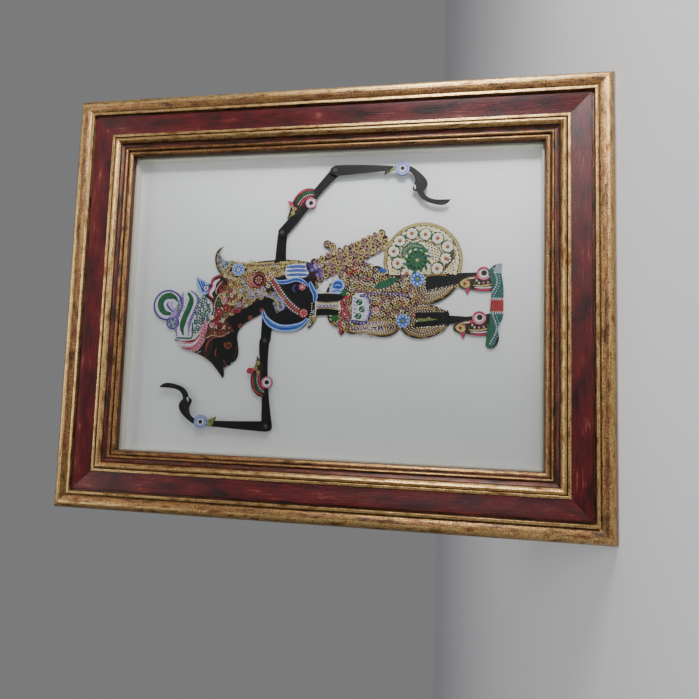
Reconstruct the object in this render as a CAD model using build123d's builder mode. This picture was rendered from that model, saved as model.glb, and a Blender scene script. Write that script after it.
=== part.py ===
from build123d import *
import os

# Framed shadow puppet: a flat, pierced and painted leather figure with four arm hinges, set
# behind glass in a mitred picture moulding. Millimetres. +Z is up, the picture faces -Y, and the
# origin is where the wall nail bears: the top inside of the hanger ring, on the back plane y = 0.

# ---- driving sizes -------------------------------------------------------------------------
# The figure is drawn 256 mm tall, in millimetres from the middle of the picture.
drawn_height = 256.0
figure_height = 256.0
figure_scale = figure_height / drawn_height
figure_span = 200.0 * figure_scale        # wrist to elbow, arms as displayed
side_margin = 10.0                        # figure to sight edge, left and right
end_margin = 21.0                         # figure to sight edge, top and bottom

leather = 0.9                             # puppet plates
pad_thickness = 0.8                       # foam pads behind the figure
pad_radius = 4.0
plate_gap = 0.4                           # body plate to upper arms
rivet_radius = 0.9
rivet_head_radius = 1.6
rivet_head_thickness = 0.5
rivet_clearance = 0.05                    # radial, in the plate that turns
rivet_head_gap = 0.1
rivet_pass_gap = 0.3                      # a forearm passes this far over a shoulder rivet

glass_thickness = 2.0
glass_clearance = 0.6                     # glass to the elbow rivets
board_thickness = 1.5
panel_thickness = 3.0
back_clearance = 0.3                      # back panel to turn buttons
sheet_clearance = 1.0                     # each side, sheets in the rebate
rebate_width = 5.0
spacer_width = 4.6

# Moulding, from the outer edge inwards, and its heights down from the crest
bead_width = 11.2
lip_width = 2.0
quirk_width = 1.9
panel_width = 12.2
inner_fillet_width = 1.9
inner_bead_width = 4.4
cove_width = 3.0
step_bead_width = 2.2
sight_width_of_moulding = 3.2
bead_crest_share = 0.42                   # the outer bead's highest line, as a share of its width
outer_side_drop = 7.5                     # flat outer side stops this far below the crest
quirk_drop = 2.8
panel_start_drop = 1.2
panel_end_drop = 4.1
inner_fillet_drop = 3.5
inner_bead_drop = 3.0
cove_drop = 6.4
step_bead_drop = 6.2
sight_edge_drop = 8.9
sight_lip_thickness = 4.3                 # wood left in front of the rebate
lip_drops = (0.3, 0.2)                    # the lip's two edges below the crest
inner_bead_feet = (0.6, 1.4)              # the inner bead's feet below the panel's end
cove_bow = 0.04                           # the cove's deepest line, as a share of its drop
step_bead_feet = (0.8, 1.2)               # the step bead's feet below the cove's drop
sight_bead_rises = (0.7, 1.1, -0.4)       # start, crest and end of the sight edge's rounding

button_width = 9.0
button_thickness = 1.6
button_reach = 9.5                        # pivot to the far end's centre
button_inset = 7.0                        # pivot to the rebate's edge
button_spacing = 160.0                    # between the two on one side
screw_radius = 1.45
screw_clearance = 0.05                    # radial, in a turn button
screw_head_radius = 3.0
screw_head_thickness = 1.5
screw_head_gap = 0.1
screw_bite = 11.0                         # length in the wood
screw_recess_width = 0.9
screw_recess_depth = 0.8

ring_wire_radius = 1.0
ring_bend_radius = 7.0                    # centre line of the bow
ring_corner_radius = 2.0
ring_clearance = 0.05                     # radial, in the strap's knuckle
ring_side_clearance = 0.5                 # strap to the ring's bends
strap_thickness = 0.8
strap_length = 18.0                       # below the hinge line
strap_screw_spacing = 8.0
strap_first_screw = 5.5                   # below the hinge line
nail_below_top = 6.0                      # nail seat to the frame's top edge

nail_leg = 7.0                            # corner nails: leg, blade and depth
nail_blade = 0.6
nail_depth = 8.0
nail_insets = (13.0, 24.0)                # from the two outer edges
bumper_radius = 6.0
bumper_inset = 16.0

# ---- derived sizes -------------------------------------------------------------------------
sight_width = figure_span + 2 * side_margin
sight_height = figure_height + 2 * end_margin
stations = [0.0]
for zone in (bead_width, lip_width, quirk_width, panel_width, inner_fillet_width,
             inner_bead_width, cove_width, step_bead_width, sight_width_of_moulding):
    stations.append(stations[-1] + zone)
moulding_width = stations[-1]
frame_width = sight_width + 2 * moulding_width
frame_height = sight_height + 2 * moulding_width

panel_front = back_clearance + panel_thickness
board_front = panel_front + board_thickness

body_back = board_front + pad_thickness
upper_arm_back = body_back + leather + plate_gap
forearm_gap = rivet_head_gap + rivet_head_thickness + rivet_pass_gap
forearm_back = upper_arm_back + leather + forearm_gap
elbow_front = forearm_back + leather + rivet_head_gap + rivet_head_thickness

glass_back = elbow_front + glass_clearance
spacer_thickness = glass_back - board_front
rebate_depth = glass_back + glass_thickness
moulding_depth = rebate_depth + sight_lip_thickness + sight_edge_drop

ring_leg_end = ring_bend_radius - ring_corner_radius
strap_width = 2 * (ring_leg_end - ring_side_clearance)
ring_inner_height = ring_corner_radius + ring_bend_radius - ring_wire_radius
frame_top = nail_below_top
centre_z = frame_top - frame_height / 2
hinge_z = -ring_inner_height
knuckle_inner = ring_wire_radius + ring_clearance
knuckle_outer = knuckle_inner + strap_thickness
bumper_thickness = 2 * knuckle_outer      # the frame hangs parallel to the wall
pocket_width = sight_width + 2 * rebate_width
pocket_height = sight_height + 2 * rebate_width


def front_plane(depth):
    """The picture's plane, depth above the back plane: x right, y up, out towards the viewer."""
    return Plane(origin=(0, -depth, centre_z), x_dir=(1, 0, 0), z_dir=(0, -1, 0))


def back_plane(depth=0.0):
    """A plane on the back, seen from the wall: x left, y up, out towards the wall."""
    return Plane(origin=(0, depth, 0), x_dir=(-1, 0, 0), z_dir=(0, 1, 0))


def at(*points):
    """Points of the figure's drawing at the figure's real size."""
    return [(figure_scale * x, figure_scale * z) for x, z in points]


def save(piece, name):
    """Labels a finished piece and writes it under its own name."""
    piece.part.label = name
    export_step(piece.part, f"parts/{name}.step")


os.makedirs("parts", exist_ok=True)


# ---- corner nails: an angle of blade in each mitre, its legs along the two rails --------------
with BuildPart() as corner_nails:
    for side in (-1, 1):
        for end in (-1, 1):
            for inset in nail_insets:
                corner = (side * (frame_width / 2 - inset), end * (frame_height / 2 - inset))
                with BuildSketch(front_plane(0)):
                    with Locations(corner):
                        Rectangle(nail_leg, nail_blade,
                                  align=(Align.MIN if side < 0 else Align.MAX, Align.CENTER))
                        Rectangle(nail_blade, nail_leg,
                                  align=(Align.CENTER, Align.MIN if end < 0 else Align.MAX))
                extrude(amount=nail_depth)
save(corner_nails, "corner_nails")


# ---- screws: round head with a cross recess, plain shank ---------------------------------------
def screws(points, seat):
    """Round-head screws at (x, z) points: each head's underside stands seat above the back."""
    with BuildPart() as made:
        with BuildSketch(back_plane(seat)):
            with Locations(*[(-x, z) for x, z in points]):
                Circle(screw_head_radius)
        extrude(amount=screw_head_thickness)
        head_rims = made.edges().filter_by(GeomType.CIRCLE).group_by(Axis.Y)[-1]
        fillet(head_rims, screw_head_thickness * 0.6)
        with BuildSketch(back_plane(seat + screw_head_thickness)):
            with Locations(*[(-x, z) for x, z in points]):
                Rectangle(screw_recess_width, screw_head_radius)
                Rectangle(screw_head_radius, screw_recess_width)
        extrude(amount=-screw_recess_depth, mode=Mode.SUBTRACT)
        with BuildSketch(back_plane(seat)):
            with Locations(*[(-x, z) for x, z in points]):
                Circle(screw_radius)
        extrude(amount=-(seat + screw_bite))
    return made


button_pivot = pocket_width / 2 + button_inset
button_points = [(side * button_pivot, centre_z + end * button_spacing / 2)
                 for side in (-1, 1) for end in (-1, 1)]
button_screws = screws(button_points, button_thickness + screw_head_gap)
save(button_screws, "button_screws")

strap_screw_points = [(0, hinge_z - strap_first_screw - i * strap_screw_spacing) for i in range(2)]
hanger_screws = screws(strap_screw_points, strap_thickness)
save(hanger_screws, "hanger_screws")


# ---- moulding: four rails of one profile, mitred, with a rebate behind the sight edge -----------
def moulding_profile():
    """The rail's section: x from the outer edge inwards, y from the back plane to the crest."""
    crest = moulding_depth
    bead_end, lip_end, panel_start, panel_end = stations[1:5]
    fillet_end, bead_two_end, cove_end, step_end, sight_edge = stations[5:10]
    side_top = crest - outer_side_drop
    inner_feet = [crest - panel_end_drop - drop for drop in inner_bead_feet]
    step_feet = [crest - cove_drop - drop for drop in step_bead_feet]
    sight_rises = [crest - sight_edge_drop + rise for rise in sight_bead_rises]
    bead_foot = crest - quirk_drop
    bead_crest = bead_width * bead_crest_share
    with BuildSketch() as section:
        with BuildLine():
            Polyline((sight_edge - rebate_width, rebate_depth), (sight_edge - rebate_width, 0),
                     (0, 0), (0, side_top))
            EllipticalCenterArc((bead_crest, side_top), bead_crest, outer_side_drop, 90,
                                arc_size=90)
            EllipticalCenterArc((bead_crest, bead_foot), bead_end - bead_crest, quirk_drop, 0,
                                arc_size=90)
            Polyline((bead_end, bead_foot), (bead_end, crest - lip_drops[0]),
                     (lip_end, crest - lip_drops[1]), (lip_end, bead_foot),
                     (panel_start, bead_foot), (panel_start, crest - panel_start_drop),
                     (panel_end, crest - panel_end_drop), (panel_end, crest - inner_fillet_drop),
                     (fillet_end, crest - inner_fillet_drop), (fillet_end, inner_feet[0]))
            ThreePointArc((fillet_end, inner_feet[0]),
                          ((fillet_end + bead_two_end) / 2, crest - inner_bead_drop),
                          (bead_two_end, inner_feet[1]))
            ThreePointArc((bead_two_end, inner_feet[1]),
                          (bead_two_end + cove_width * 0.35, crest - cove_drop * (1 + cove_bow)),
                          (cove_end, step_feet[0]))
            ThreePointArc((cove_end, step_feet[0]),
                          ((cove_end + step_end) / 2, crest - step_bead_drop),
                          (step_end, step_feet[1]))
            Line((step_end, step_feet[1]), (step_end, sight_rises[0]))
            ThreePointArc((step_end, sight_rises[0]),
                          ((step_end + sight_edge) / 2, sight_rises[1]),
                          (sight_edge, sight_rises[2]))
            Polyline((sight_edge, sight_rises[2]), (sight_edge, rebate_depth),
                     (sight_edge - rebate_width, rebate_depth))
        make_face()
    return section.sketch


profile = moulding_profile()


def rail(edge_middle, inward, half_length, fasteners):
    """One rail: the profile run along its side, mitred at both ends, bored for its fasteners."""
    across = Vector(inward[0], 0, inward[1])
    section_plane = Plane(origin=(edge_middle[0], 0, edge_middle[1]), x_dir=across,
                          z_dir=(across.Z, 0, -across.X))
    along = section_plane.z_dir
    with BuildPart() as made:
        with BuildSketch(section_plane):
            add(profile)
        extrude(amount=half_length, both=True)
        for way in (-1, 1):
            split(bisect_by=Plane(origin=section_plane.origin + along * (way * half_length),
                                  z_dir=across + along * way), keep=Keep.BOTTOM)
        for fastener in fasteners:
            add(fastener.part, mode=Mode.SUBTRACT)
    return made


half_width, half_height = frame_width / 2, frame_height / 2
rail_top = rail((0, frame_top), (0, -1), half_width, (corner_nails, hanger_screws))
rail_bottom = rail((0, frame_top - frame_height), (0, 1), half_width, (corner_nails,))
rail_left = rail((-half_width, centre_z), (1, 0), half_height, (corner_nails, button_screws))
rail_right = rail((half_width, centre_z), (-1, 0), half_height, (corner_nails, button_screws))
save(rail_top, "rail_top")
save(rail_bottom, "rail_bottom")
save(rail_left, "rail_left")
save(rail_right, "rail_right")


# ---- the sheets in the rebate, from the glass to the back panel ---------------------------------
def sheet(back, thickness):
    """A flat sheet that fills the rebate, less the clearance."""
    with BuildPart() as made:
        with BuildSketch(front_plane(back)):
            Rectangle(pocket_width - 2 * sheet_clearance, pocket_height - 2 * sheet_clearance)
        extrude(amount=thickness)
    return made


save(sheet(glass_back, glass_thickness), "glass_pane")
save(sheet(panel_front, board_thickness), "mount_board")
save(sheet(back_clearance, panel_thickness), "back_panel")


def spacer(middle, length, height):
    """A strip between glass and board, along one side of the rebate."""
    with BuildPart() as made:
        with BuildSketch(front_plane(board_front)):
            with Locations(middle):
                Rectangle(length, height)
        extrude(amount=spacer_thickness)
    return made


sheet_half_width = pocket_width / 2 - sheet_clearance
sheet_half_height = pocket_height / 2 - sheet_clearance
side_spacer_length = 2 * (sheet_half_height - spacer_width)
for name, way in (("spacer_top", 1), ("spacer_bottom", -1)):
    save(spacer((0, way * (sheet_half_height - spacer_width / 2)),
                2 * sheet_half_width, spacer_width), name)
for name, way in (("spacer_left", -1), ("spacer_right", 1)):
    save(spacer((way * (sheet_half_width - spacer_width / 2), 0),
                spacer_width, side_spacer_length), name)


# ---- turn buttons: each swings on its screw to free the back panel ------------------------------
for number, (x, z) in enumerate(button_points, start=1):
    towards_middle = 1 if x > 0 else -1
    with BuildPart() as turn_button:
        with BuildSketch(back_plane()):
            with Locations((-x + towards_middle * button_reach / 2, z)):
                SlotCenterToCenter(button_reach, button_width)
            with Locations((-x, z)):
                Circle(screw_radius + screw_clearance, mode=Mode.SUBTRACT)
        extrude(amount=button_thickness)
        outer_rim = turn_button.faces().sort_by(Axis.Y)[-1].outer_wire().edges()
        fillet(outer_rim, button_thickness * 0.35)
    save(turn_button, f"turn_button_{number}")


# ---- hanger: screwed strap, its knuckle, and the ring that swings in it -------------------------
with BuildPart() as hanger_strap:
    with BuildSketch(back_plane()):
        with Locations((0, hinge_z)):
            Rectangle(strap_width, strap_length, align=(Align.CENTER, Align.MAX))
        with Locations(*strap_screw_points):
            Circle(screw_radius, mode=Mode.SUBTRACT)
    extrude(amount=strap_thickness)
    with BuildSketch(Plane.YZ.offset(-strap_width / 2)):
        with Locations((knuckle_outer, hinge_z)):
            Circle(knuckle_outer)
            Circle(knuckle_inner, mode=Mode.SUBTRACT)
    extrude(amount=strap_width)
    foot_corners = hanger_strap.edges().filter_by(Axis.Y).group_by(Axis.Z)[0]
    fillet(foot_corners, strap_width * 0.3)
save(hanger_strap, "hanger_strap")

ring_plane = Plane(origin=(0, knuckle_outer, hinge_z), x_dir=(1, 0, 0), z_dir=(0, -1, 0))
with BuildPart() as hanger_ring:
    with BuildLine(ring_plane) as ring_line:
        Line((-ring_leg_end, 0), (ring_leg_end, 0))
        RadiusArc((ring_leg_end, 0), (ring_bend_radius, ring_corner_radius),
                  -ring_corner_radius)
        ThreePointArc((ring_bend_radius, ring_corner_radius),
                      (0, ring_corner_radius + ring_bend_radius),
                      (-ring_bend_radius, ring_corner_radius))
        RadiusArc((-ring_bend_radius, ring_corner_radius), (-ring_leg_end, 0),
                  -ring_corner_radius)
    with BuildSketch(Plane(origin=ring_line.wire() @ 0, z_dir=ring_line.wire() % 0)):
        Circle(ring_wire_radius)
    sweep(path=ring_line.wire())
save(hanger_ring, "hanger_ring")

with BuildPart() as wall_bumpers:
    with BuildSketch(back_plane()):
        bumper_x = frame_width / 2 - bumper_inset
        with Locations(*[(way * bumper_x, frame_top - frame_height + bumper_inset)
                         for way in (-1, 1)]):
            Circle(bumper_radius)
    extrude(amount=bumper_thickness)
save(wall_bumpers, "wall_bumpers")


# ---- the figure ---------------------------------------------------------------------------------
# Hinge points and the middles of what is round, as drawn
front_shoulder, front_elbow = at((-27.5, 43), (-88.8, 39.2))
rear_shoulder, rear_elbow = at((52, 33.2), (96.8, -5))
pad_points = at((-3, 100), (6, 24), (-4, -45), (32, -70), (-3, -119))


def outline(*stretches):
    """A closed face from stretches of points: two points make a straight, more make a curve."""
    with BuildSketch(mode=Mode.PRIVATE) as face:
        with BuildLine():
            for stretch in stretches:
                if len(stretch) == 2:
                    Line(*at(*stretch))
                else:
                    Spline(*at(*stretch))
        make_face()
    return face.sketch


def disc(x, z, radius):
    """A round lobe of the drawing."""
    with Locations(*at((x, z))):
        Circle(figure_scale * radius)


def head_dress():
    """The rolled hair with its scroll, the lobe before it, and the crest's three points."""
    disc(-1.9, 120.2, 11.7)
    disc(-15, 115.5, 5.2)
    disc(-9.6, 112.6, 3.4)
    add(outline([(-27, 112), (-16, 113), (-4, 110), (7, 110)],
                [(7, 110), (9.6, 104), (8.5, 97), (6, 93)],
                [(6, 93), (12, 97), (20, 98.5)],
                [(20, 98.5), (16.5, 93), (14, 87)],
                [(14, 87), (19, 85.5), (21, 80), (18, 74)],
                [(18, 74), (-22, 64)], [(-22, 64), (-40, 90)],
                [(-40, 90), (-36.5, 99), (-34.5, 105.5)],
                [(-34.5, 105.5), (-32.6, 101), (-32.2, 111)],
                [(-32.2, 111), (-29.5, 104), (-28.4, 113.8)],
                [(-28.4, 113.8), (-27, 112)]))


def face():
    """A plain profile in the leather-puppet manner: fine nose, closed lips, full jaw."""
    add(outline([(-39, 92), (-44, 84)], [(-44, 84), (-50, 78.5), (-55.5, 74.2)],
                [(-55.5, 74.2), (-51, 73.6), (-47, 75)],
                [(-47, 75), (-47.6, 73), (-45.6, 71.6)], [(-45.6, 71.6), (-46.2, 70), (-44, 68.8)],
                [(-44, 68.8), (-42.5, 65.5), (-37.5, 63.4), (-30, 64), (-22, 65)],
                [(-22, 65), (-14, 90)], [(-14, 90), (-39, 92)]))


def neck():
    """The neck's long S from the ear down into the chest."""
    add(outline([(-26, 64.6), (-19, 63), (-12.6, 55.5), (-6, 45)], [(-6, 45), (3, 34)],
                [(3, 34), (3.7, 44), (-1, 54), (-8, 66), (-15, 76)], [(-15, 76), (-26, 64.6)]))


def back_wing():
    """The tall ornament behind neck and shoulder, its upper corner drawn out to a hook."""
    add(outline([(-12, 64), (4, 76), (21, 79)], [(21, 79), (28, 83.5), (37, 84.2), (42.6, 78)],
                [(42.6, 78), (38, 81.5), (34.8, 80), (31.8, 72)],
                [(31.8, 72), (30.2, 60), (31.5, 45), (32.2, 30), (30, 12)],
                [(30, 12), (0, 30)], [(0, 30), (-12, 64)]))


def chest():
    """The round chest with its lower lace edge."""
    add(outline([(-5, 47), (-15, 40.5), (-20.2, 28), (-18.5, 17.5), (-13, 12)],
                [(-13, 12), (-18.5, 11.5)],
                [(-18.5, 11.5), (-12, 6.6), (-3, 4.8), (8, 6.6)], [(8, 6.6), (17, 4.6)],
                [(17, 4.6), (26, 5), (30, 12)], [(30, 12), (18, 44)], [(18, 44), (-5, 47)]))


def shoulders():
    """The two shoulder stubs, cut with the body, that carry the arm hinges."""
    add(outline([(-8, 46.2), (-27.5, 46.6)], [(-27.5, 46.6), (-31.3, 43), (-27.5, 39.4)],
                [(-27.5, 39.4), (-8, 37.6)], [(-8, 37.6), (-8, 46.2)]))
    add(outline([(14, 38.6), (35, 38), (51.5, 36.8)], [(51.5, 36.8), (55.6, 33.2), (51.5, 29.8)],
                [(51.5, 29.8), (32, 30), (19, 28)], [(19, 28), (14, 38.6)]))


def waist_and_skirt():
    """The slim waist, the skirt cloth with its two hanging lobes, and the hip scarf's points."""
    add(outline([(-8.6, 8), (-8.4, -2)], [(-8.4, -2), (-14, -4.5), (-17, -10)],
                [(-17, -10), (-22.8, -12.6)], [(-22.8, -12.6), (-20, -15), (-18.5, -15)],
                [(-18.5, -15), (-21.8, -20), (-20.4, -28), (-23, -38), (-22.4, -48), (-16.5, -54.5)],
                [(-16.5, -54.5), (-22.5, -60), (-24.2, -69), (-21, -80), (-14.5, -88)],
                [(-14.5, -88), (-6.5, -88)], [(-6.5, -88), (-2.8, -82), (-0.4, -70)],
                [(-0.4, -70), (2.4, -82), (8, -89.5), (14.6, -94)], [(14.6, -94), (21.4, -90)],
                [(21.4, -90), (21.2, -60)], [(21.2, -60), (21, -45), (25.6, -41), (26.4, -33)],
                [(26.4, -33), (30.6, -27.5), (30.2, -20), (25, -14.6), (20.6, -9)],
                [(20.6, -9), (17.4, -10)], [(17.4, -10), (15.5, -5), (8, -0.6)],
                [(8, -0.6), (7.6, 8)], [(7.6, 8), (-8.6, 8)]))


train_start, train_end, train_lobes = (24.5, 6), (46.5, -41.5), 11
train_half_width, train_taper, train_lobe_radius = 6.2, 0.25, 2.9


def train():
    """The scarf's end: a run of curls, three abreast, with one short branch."""
    (x0, z0), (x1, z1) = train_start, train_end
    length = ((x1 - x0) ** 2 + (z1 - z0) ** 2) ** 0.5
    across = ((z0 - z1) / length, (x1 - x0) / length)
    for i in range(train_lobes):
        share = i / (train_lobes - 1)
        spread = train_half_width * (1 - train_taper * share)
        for row in (-1, 0, 1):
            disc(x0 + (x1 - x0) * share + across[0] * spread * row,
                 z0 + (z1 - z0) * share + across[1] * spread * row, train_lobe_radius)
    for x, z in ((38.5, -4.5), (41.5, -4), (43.3, -0.4)):
        disc(x, z, train_lobe_radius)
    add(outline([(14, 8), (28, 15.5)], [(28, 15.5), (31, 8)], [(31, 8), (18, 3)],
                [(18, 3), (14, 8)]))


fan_middle, fan_radius = (30.6, -69), 27.6


def legs_and_base():
    """Two slim legs, their feet, and the ground strip that they stand on."""
    add(outline([(-16, -68), (-14.6, -84)], [(-14.6, -84), (-11.8, -99)],
                [(-11.8, -99), (-12.8, -113)], [(-12.8, -113), (-18, -117)],
                [(-18, -117), (-6, -117)], [(-6, -117), (-8.6, -100)], [(-8.6, -100), (-6.5, -68)],
                [(-6.5, -68), (-16, -68)]))
    add(outline([(10.4, -72), (14.4, -90)], [(14.4, -90), (18.6, -105)],
                [(18.6, -105), (18.4, -113)], [(18.4, -113), (13, -119)], [(13, -119), (25.5, -119)],
                [(25.5, -119), (22.2, -105)], [(22.2, -105), (21.2, -72)], [(21.2, -72), (10.4, -72)]))
    add(outline([(-28, -112.4), (-14, -114), (2, -115.6), (14, -116), (24, -114.4)],
                [(24, -114.4), (27.4, -118), (28.4, -123)], [(28.4, -123), (20, -122.6)],
                [(20, -122.6), (11, -124), (0, -124), (-11, -122.8), (-15, -120.6), (-24, -121.2),
                 (-30.4, -116.5), (-28, -112.4)]))


def anklet(x, z):
    """A bird-shaped anklet about its ring: back scroll, crest, beak, and breast."""
    disc(x, z, 4.7)
    add(outline([(x, z + 1), (x - 2.4, z + 13)], [(x - 2.4, z + 13), (x - 7, z + 17.4), (x - 11, z + 12)],
                [(x - 11, z + 12), (x - 15, z + 10.6)], [(x - 15, z + 10.6), (x - 10.6, z + 8.6)],
                [(x - 10.6, z + 8.6), (x - 12.2, z + 2), (x - 11, z - 8)],
                [(x - 11, z - 8), (x, z - 8)], [(x, z - 8), (x, z + 1)]))


def front_armlet():
    """A bird-shaped armlet lying along the front arm, head to the shoulder."""
    disc(-57.6, 40.2, 4.2)
    add(outline([(-62, 40), (-67.6, 40.4), (-68.2, 44), (-64, 50), (-57, 52.4), (-51.8, 51.8)],
                [(-51.8, 51.8), (-50, 55.8), (-47.4, 54)], [(-47.4, 54), (-47, 50.4), (-43, 49)],
                [(-43, 49), (-38.6, 48.3)], [(-38.6, 48.3), (-42, 45.8), (-44, 42)],
                [(-44, 42), (-62, 40)]))


def rear_armlet():
    """The same bird on the rear arm, its back to the outside of the bend."""
    disc(73.6, 12.4, 4.2)
    add(outline([(66, 20), (64, 26), (62.2, 30.2)], [(62.2, 30.2), (67, 28.6), (71, 27.6)],
                [(71, 27.6), (75.6, 30)], [(75.6, 30), (75, 26.2)],
                [(75, 26.2), (80, 23.4), (84.6, 16), (83.6, 10), (79, 8.4)],
                [(79, 8.4), (74, 13)], [(74, 13), (66, 20)]))


def plate(back, *drawings, bores):
    """A leather plate made of joined drawings, bored at (point, radius) pairs."""
    with BuildPart() as made:
        with BuildSketch(front_plane(back)):
            for drawing in drawings:
                drawing()
            for point, radius in bores:
                with Locations(point):
                    Circle(radius, mode=Mode.SUBTRACT)
        extrude(amount=leather)
    return made


def left_anklet():
    """Anklet of the front leg."""
    anklet(-9.4, -108)


def right_anklet():
    """Anklet of the rear leg."""
    anklet(21.4, -110.6)


def fan():
    """The round fan held behind the hip."""
    disc(*fan_middle, fan_radius)


puppet_body = plate(body_back, head_dress, face, neck, back_wing, chest, shoulders,
                    waist_and_skirt, train, fan, legs_and_base, left_anklet, right_anklet,
                    bores=[(front_shoulder, rivet_radius), (rear_shoulder, rivet_radius)])
save(puppet_body, "puppet_body")


def front_upper_arm():
    """Front upper arm, shoulder to elbow."""
    add(outline([(-27.5, 47), (-34, 47), (-50, 44.6), (-70, 43.4), (-85, 43)],
                [(-85, 43), (-91.5, 42.2), (-92.2, 37), (-88.6, 35.2)],
                [(-88.6, 35.2), (-70, 38.2), (-50, 40.1), (-27.5, 39.6)],
                [(-27.5, 39.6), (-23.9, 43.3), (-27.5, 47)]))


def rear_upper_arm():
    """Rear upper arm, shoulder to elbow."""
    add(outline([(53.6, 36.4), (72, 20.4), (99, -2.2)],
                [(99, -2.2), (100.2, -5.6), (96.8, -8.4), (93.2, -6.8)],
                [(93.2, -6.8), (80, 6), (66, 17), (49.8, 30)],
                [(49.8, 30), (48.4, 33.6), (53.6, 36.4)]))


def front_forearm():
    """Front forearm with bracelet, gathered fingers, and one long finger bent back."""
    add(outline([(-92.6, 38.6), (-91.8, 58), (-90.2, 84)],
                [(-90.2, 84), (-89.4, 93), (-85, 100), (-77, 105.6), (-71.6, 102.6)],
                [(-71.6, 102.6), (-66.4, 105), (-63.9, 112), (-63.6, 121.8)],
                [(-63.6, 121.8), (-60.6, 118), (-61, 109), (-64.4, 101.6), (-70, 98.6)],
                [(-70, 98.6), (-73, 96), (-77, 97.6), (-82.4, 96.6), (-85.6, 89)],
                [(-85.6, 89), (-86.6, 84)], [(-86.6, 84), (-83.4, 76.8)],
                [(-83.4, 76.8), (-86.4, 77.5)], [(-86.4, 77.5), (-86, 60), (-85.2, 39.4)],
                [(-85.2, 39.4), (-88.8, 35.3), (-92.6, 38.6)]))
    disc(-87.6, 88.3, 5)


def rear_forearm():
    """Rear forearm, hanging, the long finger curled forward."""
    add(outline([(100.5, -5.2), (100.1, -25), (98.2, -50)],
                [(98.2, -50), (98, -59), (93, -66), (85, -71.4), (79.8, -68.4)],
                [(79.8, -68.4), (74.6, -73), (73.2, -80), (73.2, -87.4)],
                [(73.2, -87.4), (70, -84), (70.6, -75), (74, -68), (79.6, -64.4)],
                [(79.6, -64.4), (82, -60.8), (86, -62.4), (92, -61), (95.2, -55)],
                [(95.2, -55), (95.8, -48)], [(95.8, -48), (92.4, -40.8)],
                [(92.4, -40.8), (95.2, -41)], [(95.2, -41), (94.2, -24), (93.1, -5.6)],
                [(93.1, -5.6), (96.8, -1.2), (100.5, -5.2)]))
    disc(96.6, -53.6, 5)


turning_bore = rivet_radius + rivet_clearance
save(plate(upper_arm_back, front_upper_arm, front_armlet,
           bores=[(front_shoulder, turning_bore), (front_elbow, rivet_radius)]),
     "front_upper_arm")
save(plate(upper_arm_back, rear_upper_arm, rear_armlet,
           bores=[(rear_shoulder, turning_bore), (rear_elbow, rivet_radius)]),
     "rear_upper_arm")
save(plate(forearm_back, front_forearm, bores=[(front_elbow, turning_bore)]), "front_forearm")
save(plate(forearm_back, rear_forearm, bores=[(rear_elbow, turning_bore)]), "rear_forearm")


def rivet(point, fixed_back, turning_back):
    """A rivet held in the plate behind, a head each side, with room for the plate that turns."""
    turning_front = turning_back + leather
    head_back = fixed_back - rivet_head_thickness
    head_front = turning_front + rivet_head_gap
    with BuildPart() as made:
        for back, radius, length in ((head_back, rivet_head_radius, rivet_head_thickness),
                                     (fixed_back, rivet_radius, head_front - fixed_back),
                                     (head_front, rivet_head_radius, rivet_head_thickness)):
            with BuildSketch(front_plane(back)):
                with Locations(point):
                    Circle(radius)
            extrude(amount=length)
        front_rim = made.edges().filter_by(GeomType.CIRCLE).sort_by(Axis.Y)[0]
        fillet(front_rim, rivet_head_thickness * 0.6)
    return made


save(rivet(front_shoulder, body_back, upper_arm_back), "front_shoulder_rivet")
save(rivet(rear_shoulder, body_back, upper_arm_back), "rear_shoulder_rivet")
save(rivet(front_elbow, upper_arm_back, forearm_back), "front_elbow_rivet")
save(rivet(rear_elbow, upper_arm_back, forearm_back), "rear_elbow_rivet")

with BuildPart() as mounting_pads:
    with BuildSketch(front_plane(board_front)):
        with Locations(*pad_points):
            Circle(pad_radius)
    extrude(amount=pad_thickness)
save(mounting_pads, "mounting_pads")
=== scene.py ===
"""A leather shadow puppet in a gilt and dark red picture frame, dressed around its CAD model.

The CAD frame gives every place and size. Lengths in this file are millimetres, written from the
middle of the picture (x to the right, z up, depth towards the viewer), and become metres when a
mesh is made.
"""

import logging
import math
from dataclasses import dataclass, field
from enum import Enum
from functools import partial
from typing import Sequence

import bmesh
import bpy
import numpy as np
from mathutils import Matrix, Vector
from mathutils.geometry import delaunay_2d_cdt


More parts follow.
